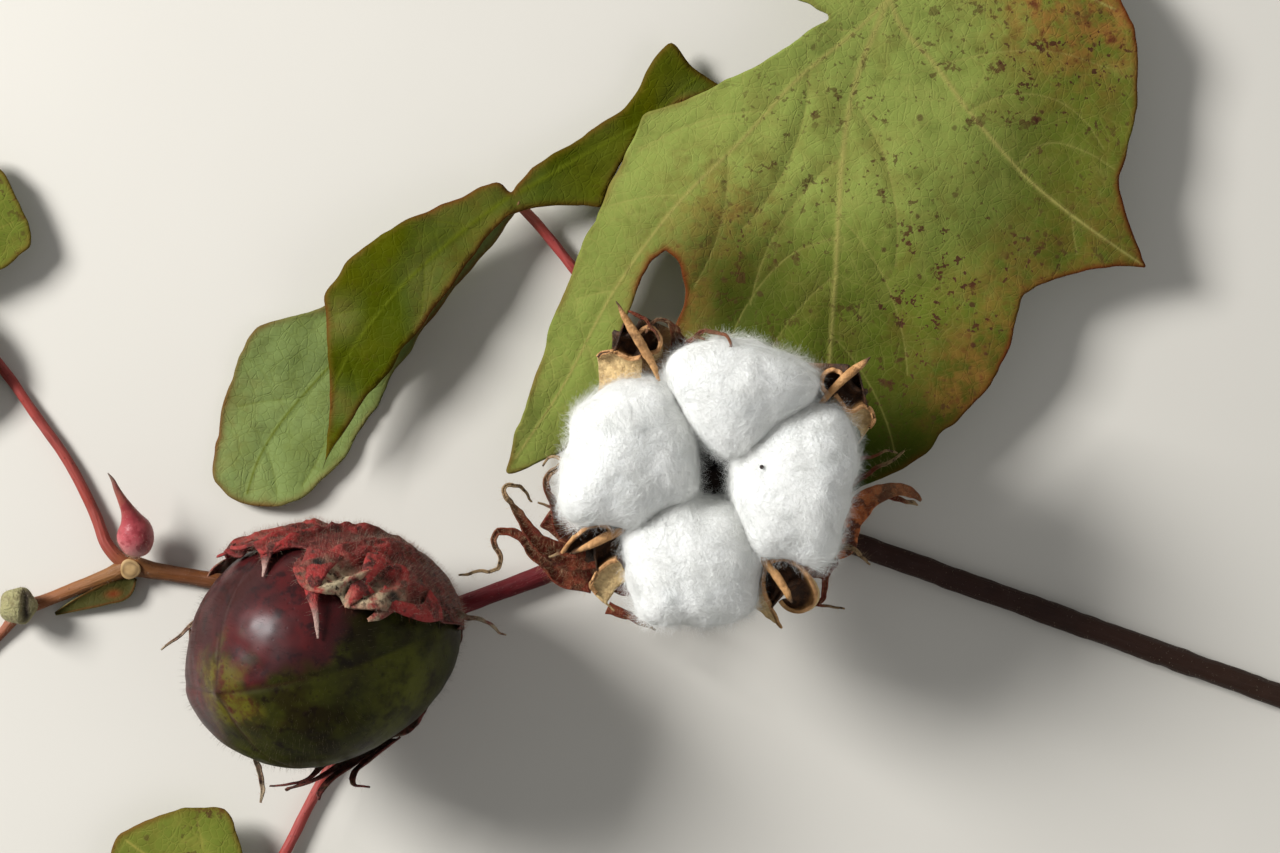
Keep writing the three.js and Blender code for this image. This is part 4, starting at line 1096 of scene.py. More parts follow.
# Their free teeth, each from its root on the bract to its tip, with its half width at each knot.
OPEN_BRACT_TEETH = {
    "lower_left": [
        [(-8.0, -23.5, 17.5, 3.4), (-13.7, -23.9, 20.0, 3.0), (-16.4, -22.6, 21.6, 2.4),
         (-18.9, -20.8, 23.2, 1.8), (-21.1, -17.7, 24.8, 1.2), (-22.8, -15.0, 26.4, 0.7),
         (-24.4, -12.9, 28.0, 0.5), (-24.9, -11.5, 28.0, 0.42), (-24.3, -10.7, 28.0, 0.35),
         (-22.7, -10.7, 27.4, 0.28), (-21.0, -11.8, 26.2, 0.22), (-19.8, -13.8, 25.0, 0.1)],
        [(-9.0, -28.0, 17.0, 3.4), (-14.8, -26.9, 18.0, 2.8), (-17.0, -24.7, 18.9, 2.2),
         (-19.5, -23.0, 19.7, 1.6), (-21.2, -20.8, 20.6, 1.3), (-22.9, -19.7, 21.1, 1.0),
         (-24.7, -19.3, 21.4, 0.8), (-26.2, -19.4, 21.7, 0.7), (-26.9, -20.8, 22.0, 0.6),
         (-26.4, -22.6, 21.1, 0.5), (-25.7, -24.3, 20.3, 0.42), (-26.1, -26.1, 19.4, 0.36),
         (-27.9, -26.8, 18.4, 0.3), (-30.0, -26.7, 17.3, 0.25), (-31.9, -27.4, 16.1, 0.2),
         (-33.7, -27.6, 15.0, 0.08)],
        [(-11.0, -20.0, 20.0, 2.4), (-13.6, -19.1, 22.0, 2.2), (-15.2, -15.9, 24.0, 1.5),
         (-15.8, -13.7, 26.0, 0.95), (-16.7, -11.9, 27.8, 0.75), (-17.1, -10.2, 29.4, 0.65),
         (-16.2, -8.4, 31.0, 0.6), (-14.9, -7.5, 31.0, 0.5), (-14.2, -6.3, 31.0, 0.35),
         (-15.1, -5.5, 30.6, 0.25), (-16.6, -5.7, 29.8, 0.18), (-17.7, -7.2, 29.0, 0.08)],
        [(-14.5, -16.5, 23.0, 0.5), (-16.5, -14.6, 24.5, 0.25), (-18.8, -14.0, 25.0, 0.08)],
        [(-11.5, -23.4, 39.0, 0.3), (-14.0, -22.8, 39.6, 0.28), (-16.4, -23.4, 39.0, 0.1)],
        [(-6.0, -33.5, 16.5, 1.4), (-3.3, -34.6, 16.3, 1.0), (0.4, -36.6, 15.0, 0.5),
         (3.0, -37.8, 13.5, 0.1)],
    ],
    "right": [
        [(33.0, -21.0, 15.5, 2.6), (38.1, -21.9, 18.0, 1.5), (39.0, -19.7, 19.8, 1.0),
         (39.2, -17.2, 21.6, 1.4), (40.4, -14.8, 23.3, 1.7), (42.1, -13.1, 25.1, 1.45),
         (44.1, -12.2, 26.2, 1.2), (46.1, -11.6, 26.7, 1.0), (48.0, -11.5, 26.9, 0.85),
         (49.9, -12.3, 26.4, 0.6), (51.4, -13.6, 26.0, 0.15)],
        [(44.6, -12.4, 26.2, 0.6), (46.3, -12.9, 26.0, 0.5), (48.1, -13.6, 26.0, 0.45),
         (49.8, -14.0, 25.7, 0.35), (50.9, -14.4, 25.0, 0.1)],
        [(31.0, -33.0, 15.0, 0.8), (33.8, -32.2, 16.0, 0.5), (34.1, -29.9, 18.0, 0.6),
         (34.2, -27.7, 20.0, 0.7), (34.8, -24.6, 21.5, 0.7), (36.2, -22.5, 23.0, 0.6),
         (37.9, -22.0, 23.5, 0.5), (39.6, -22.7, 24.0, 0.42), (41.0, -24.1, 23.0, 0.3),
         (42.3, -25.5, 22.0, 0.08)],
        [(28.5, -32.0, 17.0, 0.5), (30.7, -33.2, 18.0, 0.3), (32.1, -33.1, 18.0, 0.24),
         (33.9, -33.2, 18.0, 0.2), (36.0, -33.4, 18.5, 0.16), (37.9, -33.7, 19.0, 0.08)],
        [(37.5, -12.0, 17.5, 0.8), (40.7, -9.5, 19.0, 0.5), (42.0, -8.8, 20.8, 0.4), (43.4, -7.6, 22.6, 0.35),
         (44.9, -6.9, 24.4, 0.3), (46.5, -6.0, 25.4, 0.22), (48.5, -4.3, 26.0, 0.08)],
        [(40.0, -6.0, 22.0, 0.3), (43.0, -5.4, 24.0, 0.2), (45.6, -4.4, 25.0, 0.14),
         (47.2, -4.8, 25.0, 0.06)],
    ],
    "top": [
        [(6.9, 11.5, 28.0, 2.2), (6.8, 14.3, 36.0, 1.7), (6.6, 15.9, 38.6, 1.5), (6.1, 17.2, 41.1, 1.1),
         (5.3, 18.4, 42.9, 0.5), (4.1, 19.1, 44.1, 0.3), (2.8, 18.9, 45.1, 0.26), (1.8, 18.0, 45.6, 0.24),
         (1.1, 16.6, 46.2, 0.1)],
        [(-2.2, 20.4, 46.4, 0.1), (-1.1, 19.8, 46.2, 0.24), (0.0, 19.4, 46.0, 0.28), (1.1, 18.9, 46.0, 0.3),
         (2.0, 17.8, 46.2, 0.26), (2.9, 16.4, 46.2, 0.2), (3.6, 14.6, 44.0, 0.1)],
        [(9.5, 13.0, 33.0, 1.0), (9.9, 15.4, 40.0, 0.6), (10.4, 16.4, 43.6, 0.45), (11.6, 17.0, 46.0, 0.34),
         (12.9, 16.8, 47.4, 0.3), (14.3, 16.3, 48.4, 0.26), (15.5, 15.6, 49.2, 0.22),
         (16.0, 14.4, 49.4, 0.18), (15.3, 13.0, 49.0, 0.06)],
        [(8.0, 13.5, 38.0, 0.8), (8.8, 15.2, 42.0, 0.4), (10.2, 15.9, 44.0, 0.3), (11.6, 15.6, 45.5, 0.1)],
    ],
}


def tooth_shape(knots, thickness, curl, seed, widen=1.0):
    """A long narrow tooth: a strip that tapers to a thread, rolled along its length, with a knobbly skin."""
    path = smooth_path(knots, 70)
    along = unit(np.gradient(path[:, :3], axis=0))
    side = unit(np.cross(along, [0, 0, 1.0]) + 1e-4)
    up = np.cross(side, along)
    across = np.linspace(-1, 1, 9)
    half = path[:, 3][:, None] * widen
    flat = path[:, None, :3] + (side[:, None] * across[None, :, None]) * half[..., None]
    rolled = up[:, None] * (across**2)[None, :, None] * half[..., None] * curl
    points = (flat + rolled).reshape(-1, 3)
    points = points + 0.18 * noise(points, 1.2, seed)[:, None]
    points, faces, _ = thickened(points, grid_faces(70, 9)[:, ::-1], thickness)
    return points, faces, np.tile(np.repeat(np.linspace(0, 1, 70), 9), 2)


def open_bract_body(name, angle, seed):
    """The broad foot of a dried bract, cupped under the boll and crumpled."""
    reach, bearing = grid_places(60, 121)
    degrees = bearing * 46
    knots = np.array(OPEN_BRACT_REACH[name], float)
    ragged = 0.7 * noise(stack(degrees, 0, 0), 3.0, seed + 3)
    run = reach * (np.interp(degrees, knots[:, 0], knots[:, 1]) + ragged - 3.4)
    level = -2.6 + 5.5 * (run / BRACT_REACH) ** 2.2
    local = round_axis(run, degrees, level) * (0.97, 1, 1) + (3.2, 0, 0)
    rough = 0.9 * noise(local, 6, seed) + 0.5 * noise(local, 2.3, seed + 1)
    local[:, 2] += rough * reach + 1.4 * reach**3
    c, s = math.cos(math.radians(angle)), math.sin(math.radians(angle))
    local = local @ np.array([[c, s, 0], [-s, c, 0], [0, 0, 1]])
    points, faces, _ = thickened(placed(local, OPEN_FRAME), grid_faces(60, 121), 0.45)
    return points, faces, {
        "glow": np.tile(soft_step(noise(local, 9, seed + 2), 0.1, 0.5) * 0.7, 2),
        "cover": np.tile(0.15 + soft_step(reach, 0.8, 1.0), 2),
    }


def open_bract_tooth(name, k, knots):
    """One tooth of a dried bract. The right bract's first is broad and glows, and the others are bleached."""
    broad = name == "right" and k == 0
    curl, widen = (0.3, 1.3) if broad else (0.8, 0.8)
    points, faces, share = tooth_shape(knots, 0.28, curl, 60 + k, widen)
    return points, faces, {
        "glow": np.clip(1.4 - share, 0, 1) * (1 if broad else 0.1),
        "bleached": soft_step(share, 0.5, 0.8) * (0.25 if name == "top" or broad else 0.9),
        "cover": 0.6 + 0.8 * share,
    }


def add_open_bracts(finish, fuzz):
    for number, (name, angle) in enumerate(OPEN_BRACT_ANGLES.items()):
        teeth = [open_bract_tooth(name, k, knots) for k, knots in enumerate(OPEN_BRACT_TEETH[name])]
        shape = joined([open_bract_body(name, angle, 50 + number), *teeth])
        bract = make_piece(f"dried_bract_{name}", shape, finish, (f"open_bract_{name}",))
        hairs_name = f"dried_bract_hairs_{name}"
        grow_hairs(hairs_name, "dried_bract_hairs", bract, fuzz, 71 + number)


# Closed boll

# The closed boll's own frame.
CLOSED_MIDDLE = (-56, -39.7, 29.9)
CLOSED_AXIS = (-0.68, -0.27, 0.68)
CLOSED_FRAME = frame_at(CLOSED_MIDDLE, CLOSED_AXIS)
# Its shape: its radius and half its length, how much it widens towards its tip, the length of its beak, and
# the depth of its four grooves and the bearing of the first.
CLOSED_RADIUS = 22.2
CLOSED_HALF_LENGTH = 26
CLOSED_TAPER = 0.09
CLOSED_BEAK = 1.8
CLOSED_GROOVE = 0.9
CLOSED_SPIN = 18


def on_closed_boll(around, over, outside):
    """A point on the closed boll, or that far outside it. over is 0 degrees at its foot and 180 at its
    tip."""
    around, over = np.asarray(around, float), np.asarray(over, float)
    ripple = np.cos(np.radians(4 * (around - CLOSED_SPIN)))
    fade = np.sin(np.radians(over)) ** 2
    girth = CLOSED_RADIUS * (1 - CLOSED_TAPER * np.cos(np.radians(over)))
    radius = girth - CLOSED_GROOVE * (0.5 + 0.5 * ripple) * fade
    beak = CLOSED_BEAK * np.maximum(0, 1 - (180 - over) / 24) ** 1.5
    out = (radius + outside) * np.sin(np.radians(over))
    local = round_axis(out, around, -(CLOSED_HALF_LENGTH + outside) * np.cos(np.radians(over)) + beak)

    def side(bearing, height, width):
        off = (around - bearing + 180) % 360 - 180
        return bell(off, width) * bell(over - height, width) * np.sin(np.radians(over))

    # It is flatter on its lower right and upper right sides, and fuller on its lower left one.
    full = 0.17 * side(-150, 132, 40) - 0.09 * side(-58, 72, 42) - 0.06 * side(72, 58, 38)
    return local * (1 + full)[..., None]


def to_seam_angle(around):
    """How many degrees round the boll the nearest of its four seams is."""
    return np.abs((around - CLOSED_SPIN + 45) % 90 - 45)


def boll_tints(points, around, over):
    """Where the closed boll's skin is purple, yellow, olive or creased."""
    width = np.radians(to_seam_angle(around)) * CLOSED_RADIUS * np.sin(np.radians(over))
    ragged = 9 * noise(points, 5, 82) + 5 * noise(points, 2, 83)
    # The sunny side between the seams at 18 and 198 degrees is purple.
    bearing = (around - CLOSED_SPIN) % 360
    purple = soft_step(bearing + ragged - np.maximum(0, 126 - over), 2, 16)
    purple *= 1 - soft_step(bearing + ragged, 215, 245)
    from_tip = 180 - over
    yellow = (1 - soft_step(from_tip + 1.1 * ragged, 5, 24)) * (1 - 0.1 * purple)
    along_seam = bell(width, 1.6) * (1 - soft_step(from_tip + ragged, 12, 26))
    yellow = np.maximum(yellow, along_seam * 0.45) * (1 - 0.8 * bell(from_tip, 3))
    olive = soft_step(over, 0, 1) * bell(bearing - 340, 28) * bell(over - 95, 22)
    seam = bell(width, 0.32) * soft_step(over, 120, 160) * 0.6
    return {"purple": purple, "yellow": yellow, "olive": olive, "seam": seam, "cover": np.ones(len(points))}


def closed_boll_shape():
    turns, rises = 216, 132

    def surface(turn, rise):
        around, over = turn * 360, rise * 180
        width = np.radians(to_seam_angle(around)) * CLOSED_RADIUS * np.sin(np.radians(over))
        crease = 0.22 * bell(width, 0.8) * soft_step(over, 60, 120) * (1 - soft_step(over, 172, 179))
        local = on_closed_boll(around, over, -crease)
        return local + unit(local) * (0.25 * noise(local, 7, 80) + 0.08 * noise(local, 2.2, 81))[:, None]

    points, faces = round_body(surface, turns, rises)
    turn, rise = np.meshgrid(np.arange(turns) / turns, np.arange(1, rises) / rises)
    around = np.concatenate([turn.ravel() * 360, [0, 0]])
    over = np.concatenate([rise.ravel() * 180, [0, 180]])
    return placed(points, CLOSED_FRAME), faces, boll_tints(points, around, over)


# The free edge of each bract over the closed boll, in degrees round it and over it from its foot.
CLOSED_BRACT_EDGES = {
    "upper": [(136, 92), (130, 116), (122, 117), (112, 113), (102, 117), (96, 119), (90, 108), (84, 105),
              (79, 116), (70, 121), (63, 122), (56, 119), (51, 112), (46, 112), (42, 108), (37, 100),
              (34, 92), (28, 80), (20, 67), (12, 55), (4, 44)],
    "lower": [(10, 28), (-6, 30), (-22, 32), (-38, 32), (-50, 32), (-58, 44), (-64, 74), (-70, 78), (-76, 90),
              (-83, 82), (-90, 86), (-97, 66), (-104, 40)],
    "back": [(248, 52), (240, 74), (232, 84), (224, 78), (214, 88), (206, 80), (196, 90), (186, 82),
             (172, 90), (164, 78), (152, 86), (144, 60)],
}
# Teeth over the closed boll: degrees round and over, height off the boll and half width, to the tip.
CLOSED_BRACT_TEETH = {
    "upper": [
        [(101, 106, 1.4, 2.6), (98, 114, 1.8, 1.8), (94, 120, 1.4, 0.8), (91, 124, 0.9, 0.3),
         (89, 127, 0.6, 0.08)],
        [(74, 104, 1.6, 3.4), (67, 114, 2.2, 2.4), (58, 121, 1.9, 1.0), (50, 124, 1.4, 0.45),
         (44, 126, 1.0, 0.28), (38, 128, 0.6, 0.06)],
        [(51, 100, 1.4, 2.2), (49, 106, 1.8, 1.3), (47, 110, 1.4, 0.8), (45, 112, 1.2, 0.25)],
        [(42, 90, 1.4, 2.4), (38, 97, 2.0, 1.4), (36, 102, 1.5, 0.8), (36, 106, 1.0, 0.2)],
        [(30, 70, 1.6, 3.0), (29, 80, 2.2, 1.7), (35, 91, 2.2, 1.2), (41, 96, 1.6, 0.9), (46, 97, 1.2, 0.3)],
        [(130, 104, 1.4, 2.0), (128, 112, 1.8, 1.0), (125, 116, 2.4, 0.5), (129, 118, 3.0, 0.28),
         (133, 115, 2.6, 0.1)],
        [(113, 104, 1.5, 2.2), (112, 112, 2.0, 1.1), (115, 116, 2.6, 0.5), (120, 116, 3.2, 0.28),
         (123, 112, 3.0, 0.1)],
        [(62, 84, 1.5, 2.4), (57, 93, 2.0, 1.6), (53, 99, 1.6, 0.9), (51, 104, 1.0, 0.3)],
    ],
    "lower": [
        [(-62, 76, 1.6, 2.4), (-66, 90, 2.2, 1.3), (-67, 98, 3.2, 0.7), (-62, 102, 5.0, 0.4),
         (-57, 99, 6.4, 0.15)],
        [(-78, 82, 1.6, 2.4), (-81, 95, 2.2, 1.2), (-85, 105, 3.4, 0.7), (-92, 111, 4.8, 0.4),
         (-97, 107, 6.2, 0.15)],
        [(-70, 80, 1.6, 2.4), (-74, 95, 2.2, 1.4), (-76, 104, 3.4, 0.9), (-74, 110, 5.0, 0.5),
         (-70, 113, 6.0, 0.12)],
        [(-88, 84, 1.4, 1.6), (-91, 96, 2.2, 0.8), (-90, 104, 3.6, 0.4), (-95, 112, 4.4, 0.25),
         (-101, 112, 5.4, 0.08)],
    ],
    "back": [
        [(216, 88, 1.6, 2.6), (214, 99, 2.4, 1.4), (208, 106, 3.4, 0.6), (210, 112, 4.6, 0.2)],
        [(196, 92, 1.6, 2.6), (196, 104, 2.4, 1.4), (190, 110, 3.6, 0.6), (184, 108, 5.0, 0.2)],
        [(160, 82, 1.0, 3.0), (154, 95, 1.3, 2.6), (149, 106, 1.5, 1.8), (146, 114, 1.6, 0.9),
         (143, 120, 1.6, 0.15)],
    ],
}
# Where the bracts start, in degrees over from the boll's foot.
FIRST_RING = 14
# Dry threads that stand off the boll, from root to tip, with their half widths.
CLOSED_THREADS = {
    "upper": [(-34.6, -33.5, 29.5, 0.7), (-31.6, -34.6, 30, 0.45), (-29.5, -35.0, 30, 0.35),
              (-27.3, -35.9, 30, 0.28), (-25.5, -37.4, 30, 0.2), (-24.3, -37.9, 30, 0.08)],
    "back": [(-80.6, -35.4, 27, 0.6), (-82.4, -36.6, 27, 0.32), (-84.2, -38.4, 27, 0.24),
             (-86.0, -39.6, 27.5, 0.18), (-87.4, -40.8, 28, 0.07)],
    "lower": [(-70.6, -58.6, 22, 0.8), (-71.0, -61.4, 20, 0.5), (-70.2, -64.4, 18, 0.45),
              (-70.0, -67.2, 17, 0.4), (-70.4, -69.8, 17, 0.12)],
}


def closed_bract_body(edge_knots, seed):
    """A bract that hugs the boll from its foot to a ragged free edge, which stands a little off it."""
    columns, rows = (200, 70) if seed == 100 else (120, 44)
    edge = smooth_path([(around, over, 0) for around, over in edge_knots], columns)
    share = np.linspace(0, 1, rows)[:, None]
    first, last = edge_knots[0][0], edge_knots[-1][0]
    root = np.linspace(first, last, columns)
    around = mix(mix(root, edge[:, 0], 0.3), edge[:, 0], share)
    over = mix(FIRST_RING, edge[:, 1], share)
    local = on_closed_boll(around, over, 0)
    to_side = np.minimum(np.arange(columns), np.arange(columns)[::-1]) / (columns * 0.09)
    # Long creases that fan out from its foot, and short ones across them.
    fanned = stack(0.34 * around, 0.11 * over, 0)
    long_folds = 0.7 - 1.9 * np.abs(noise(fanned, 3.4, seed))
    folds = long_folds + 0.5 * (0.5 - 1.4 * np.abs(noise(local, 3.0, seed + 1)))
    rise = (0.2 + 1.7 * folds) * soft_step(share, 0, 0.4) + share**6 + 0.4 * bell(to_side, 1)
    lift = 0.5 + rise * soft_step(over, 34, 70) + 0.14 * noise(local, 1.2, seed + 2)
    local = on_closed_boll(around, over, np.maximum(lift, 0.45)).reshape(-1, 3)
    faces = grid_faces(rows, columns)[:, ::-1] if first > last else grid_faces(rows, columns)
    points, faces, back = thickened(placed(local, CLOSED_FRAME), faces, 0.5)
    spots = stack(around, over).reshape(-1, 2)
    # Painted shade: darker in the troughs of the folds.
    crease = (1 - soft_step(folds, -0.5, 0.3)).ravel()
    values = {name: np.tile(value, 2) for name, value in bract_marks(spots, crease).items()}
    values["cover"] *= 1 - back
    return points, faces, values


def bract_marks(spots, crease):
    """Where a closed boll's bract is dry, holed, brown, hairy or darkened by painted shade in its creases, by
    degrees round and over.
    """
    around, over = spots.T

    def patch(at, size):
        return np.exp(-(((spots - at) / size) ** 2).sum(axis=1))

    dry = patch((58, 111), (9, 8)) + 0.8 * patch((47, 102), (8, 8)) + 0.5 * patch((36, 92), (7, 7))
    # The holes are only painted, as near-black spots of painted shade.
    hole = patch((51, 106), (4.5, 3.5)) + patch((69, 111), (4, 3.5)) + patch((40, 93), (4.5, 3.5))
    brown = np.maximum(soft_step(52 - around, 0, 26), 1 - soft_step(over, 45, 80))
    bare = np.clip(dry + hole, 0, 1)
    return {
        "dry": np.clip(dry * 1.4, 0, 1),
        "hole": np.clip(hole * 1.6 - 0.3, 0, 1),
        "brown": np.clip(brown, 0, 1),
        "crease": crease,
        "cover": (0.35 + 0.65 * soft_step(over, 20, 60)) * (1 - 0.8 * bare),
    }


def boll_tooth(name, k, knots):
    """A tooth that lies over the boll: a tapering strip that faces away from the boll's middle. The upper
    bract's first two end pale, and its next two dry."""
    around, over, outside, half = np.array(knots, float).T
    places = placed(on_closed_boll(around, over, outside), CLOSED_FRAME)
    path = smooth_path(np.column_stack([places, half]), 50)
    along = unit(np.gradient(path[:, :3], axis=0))
    outward = unit(path[:, :3] - np.array(CLOSED_MIDDLE, float))
    side = unit(np.cross(along, outward))
    across = np.linspace(-1, 1, 9)
    half = path[:, 3][:, None, None]
    points = path[:, None, :3] + side[:, None] * across[None, :, None] * half
    points = points + outward[:, None] * (0.45 * (1 - across**2))[None, :, None] * np.minimum(half, 1.2)
    points = points.reshape(-1, 3)
    points = points + 0.08 * noise(points, 1.2, 110 + k)[:, None]
    points, faces, _ = thickened(points, grid_faces(50, 9), 0.35)
    share = np.tile(np.repeat(np.linspace(0, 1, 50), 9), 2)
    return points, faces, {
        "white": soft_step(share, 0.58, 0.9) * (name == "upper" and k < 2),
        "dry": 0.8 * soft_step(share, 0.4, 1.0) * (name == "upper" and k in (2, 3)) + 0.3 * (name == "back"),
        "brown": np.full(len(share), float(name == "lower")),
        "cover": np.full(len(share), 0.5),
    }


def add_closed_bract(name, edge, number, finish):
    teeth = [boll_tooth(name, k, knots) for k, knots in enumerate(CLOSED_BRACT_TEETH[name])]
    points, faces, share = tooth_shape(CLOSED_THREADS[name], 0.25, 0.5, 120 + number)
    thread = {"dry": 0.3 + 0.4 * share, "brown": np.ones(len(share)), "cover": np.ones(len(share))}
    shape = joined([closed_bract_body(edge, 100 + 3 * number), *teeth, (points, faces, thread)])
    return make_piece(f"red_bract_{name}", shape, finish, (f"closed_bract_{name}",))


def add_closed_boll(skin, bract, skin_hair, grey_hair, red_hair):
    boll = make_piece("boll_body", closed_boll_shape(), skin, ("closed_boll",))
    grow_hairs("boll_fuzz", "boll_fuzz", boll, skin_hair, 91)
    for number, (name, edge) in enumerate(CLOSED_BRACT_EDGES.items()):
        piece = add_closed_bract(name, edge, number, bract)
        growth = "red_bract_hairs_upper" if name == "upper" else "red_bract_hairs"
        grow_hairs(f"red_bract_hairs_{name}", growth, piece, red_hair, 121 + number)
        if name == "upper":
            grow_hairs("red_bract_pale_hairs", "red_bract_pale_hairs", piece, grey_hair, 131)


# Leaves

# Each outline's corners lie round the leaf's junction: x, y, and how far the edge to the next corner bows out
# as a share of its length.
BIG_JUNCTION = (46.6, 79.1, 13)
BIG_OUTLINE = [(1.5, 4, 0), (-3, 11, 0.12), (-17, 17, 0.15), (-26, 9, 0.08), (-10.8, -2.6, -0.05),
               (-45.7, -20.1, 0.025), (-72.2, -88.2, 0.06), (-54.6, -79.6, -0.04), (-44.7, -48.3, 0.1),
               (-41.9, -45.3, 0.1), (-39.1, -47.3, -0.08), (-40.4, -62.6, 0), (-36.6, -75.1, 0.02),
               (-11.7, -92.9, 0.06), (8.8, -82.6, -0.05), (9.6, -80.6, 0.12), (24.3, -54.5, -0.09),
               (48.8, -49.7, -0.05), (42.6, -32.5, 0.06), (46.7, -14.3, 0.08), (43.1, 0.6, 0.1),
               (32, 15, 0.12), (14, 17, 0.12)]
# Main veins from the junction, and the side veins that show plainly, each with its half width in millimetres.
BIG_VEINS = [
    (0.6, [(0, 1), (-2.2, -4), (-5.4, -11.7), (-8, -22.6), (-9.3, -36.8), (-10, -49.4), (-11, -64.4),
           (-11.7, -90)]),
    (0.5, [(0, 1), (1.2, -2.5), (8.7, -11.7), (14.7, -20.2), (19.6, -26), (26.3, -33.1), (36, -41),
           (47.5, -48.8)]),
    (0.42, [(0, 1), (-5, -4), (-18.1, -15.1), (-26.4, -24.3), (-40, -38), (-51, -53), (-62, -73),
            (-70, -85)]),
    (0.32, [(0, 1), (-12, 7), (-22, 10)]),
    (0.34, [(0, 1), (14, 4), (30, 4), (42, -1)]),
    (0.3, [(0, 1), (9, 8), (18, 14)]),
]
BIG_SIDE_VEINS = [
    (0.28, [(-10, -43.6), (-18.1, -46.8), (-26.4, -56.1), (-31, -66)]),
    (0.3, [(8.7, -11.7), (19.6, -9.3), (32.1, -9.3), (41, -12)]),
    (0.28, [(14.7, -20.2), (22.2, -17.2), (32.1, -18.5), (37.2, -22.6), (40, -27)]),
    (0.26, [(23.9, -30.1), (28.8, -26.3), (38.1, -28.4), (42, -31)]),
]
SECOND_JUNCTION = (-24, 44.3, 8.8)
SECOND_UPPER_OUTLINE = [(-0.3, -1.2, 0.1), (1.1, 1.4, 0.1), (3.4, 4.6, 0.03), (23.1, 18.2, -0.06),
                        (30, 28.5, 0.1), (40.4, 20, 0.15), (17, -3.2, 0.05), (2.0, -3.3, 0), (-0.9, -4.4, 0),
                        (-23.8, -34.7, 0.04), (-35.8, -53, 0.04), (-35.2, -19.1, 0.12), (-31.3, -14.1, -0.05),
                        (-2.2, 1.6, 0.1)]
SECOND_UPPER_VEINS = [
    (0.45, [(-0.8, -1.2), (-12, -10), (-24, -22), (-33, -36), (-35.4, -49)]),
    (0.45, [(1.2, -0.4), (12, 6), (24, 13), (35, 22)]),
]
SECOND_LOWER_OUTLINE = [(-0.6, -1.6, 0), (-24, -14.5, 0), (-35, -20.8, -0.02), (-48.7, -25.3, 0.06),
                        (-57.4, -53.4, 0.12), (-49.1, -59.6, 0.04), (-39.7, -58.1, 0.05), (-26, -40, -0.03),
                        (1.6, -3.6, 0)]
SECOND_LOWER_VEINS = [(0.5, [(-1.5, -2.6), (-18, -19), (-36, -34), (-49, -52), (-50.5, -57)])]
# The lobes of a small leaf: degrees from its axis, and length as a share of the middle one's.
SMALL_LEAF_LOBES = [(-104, 0.5), (-52, 0.84), (0, 1), (52, 0.84), (104, 0.5)]
SMALL_LEAF_SINUS = 0.5
SMALL_LEAVES = {
    "left": {"junction": (-137, 27, 7.5), "axis": 166, "length": 56},
    "lower": {"junction": (-76, -97, 7.5), "axis": 243, "length": 60},
}
# Side veins leave a main vein this far apart, in turn left and right, at this angle. Each bends back by so
# many degrees over its longest reach.
SIDE_VEIN_SPACING = 11.0
SIDE_VEIN_ANGLE = 50
SIDE_VEIN_BEND = 24
SIDE_VEIN_REACH = 34
# A blade's thickness, the spacing of its mesh's points, and that of their rows as a share of it.
BLADE_THICKNESS = 0.42
BLADE_STEP = 0.75
ROW_SHARE = 0.866


def big_leaf_height(x, y):
    far = np.hypot(x, y)
    left_bend = np.maximum(0, -x - 30 - 0.35 * np.maximum(0, -y - 30))
    wave = 0.9 * np.sin(0.16 * x + 1.2) * np.sin(0.13 * y) * np.minimum(1, far / 40)
    return BIG_JUNCTION[2] - 5 * (far / 100) ** 1.2 - 0.3 * np.maximum(0, y) - 0.06 * left_bend + wave


def second_upper_height(x, y):
    arch = 3.2 * np.sin(np.minimum(1, np.hypot(x, y) / 62) * math.pi)
    return SECOND_JUNCTION[2] + np.where(x < 0, arch, -0.15 * x)


def second_lower_height(x, y):
    return SECOND_JUNCTION[2] - 6.6 * np.minimum(1, np.hypot(x, y) / 46) ** 0.8


def small_leaf_height(leaf):
    def height(x, y):
        far = np.hypot(x, y) / leaf["length"]
        turn = np.arctan2(y, x) - math.radians(leaf["axis"])
        return leaf["junction"][2] - 6 * far**1.4 + 1.3 * far * np.sin(3.5 * turn) ** 2

    return height


def small_leaf_outline(axis, length):
    def spot(bearing, share, bow):
        turn = math.radians(axis + bearing)
        return share * length * math.cos(turn), share * length * math.sin(turn), bow

    anchors = [spot(180, 0.07, 0.1), spot(-148, 0.42, 0.08)]
    for index, (bearing, share) in enumerate(SMALL_LEAF_LOBES):
        anchors.append(spot(bearing, share, 0.13))
        if index < len(SMALL_LEAF_LOBES) - 1:
            anchors.append(spot(bearing + 27, SMALL_LEAF_SINUS * (0.55 + 0.45 * share), 0.13))
    anchors.append(spot(148, 0.42, 0.1))
    return anchors


def small_leaf_veins(axis, length):
    veins = []
    for bearing, share in SMALL_LEAF_LOBES:
        bend = math.radians(0.12 * bearing)
        knots = [(0, 0)]
        for part in (0.3, 0.6, 0.93):
            reach = part * share * length
            turn = math.radians(axis + bearing) - bend * part + bend
            knots.append((reach * math.cos(turn), reach * math.sin(turn)))
        veins.append((0.5, knots))
    return veins


def bowed_outline(anchors, step):
    """A closed outline as points about one step apart: each edge bows out by its share of its length."""
    stretches = []
    for (x, y, bow), (next_x, next_y, _) in zip(anchors, anchors[1:] + anchors[:1]):
        start, end = np.array([x, y], float), np.array([next_x, next_y], float)
        run = end - start
        control = (start + end) / 2 + 2 * bow * np.array([run[1], -run[0]])
        share = np.linspace(0, 1, max(2, math.ceil(np.linalg.norm(run) / step)), endpoint=False)[:, None]
        stretches.append(start * (1 - share) ** 2 + control * 2 * share * (1 - share) + end * share**2)
    return np.concatenate(stretches)


def nearest(points, samples):
    """For each flat point, the index of the nearest sample and how far it is."""
    tree = KDTree(len(samples))
    for index, (x, y) in enumerate(samples):
        tree.insert((x, y, 0), index)
    tree.balance()
    found = [tree.find((x, y, 0)) for x, y in points]
    return np.array([hit[1] for hit in found]), np.array([hit[2] for hit in found])


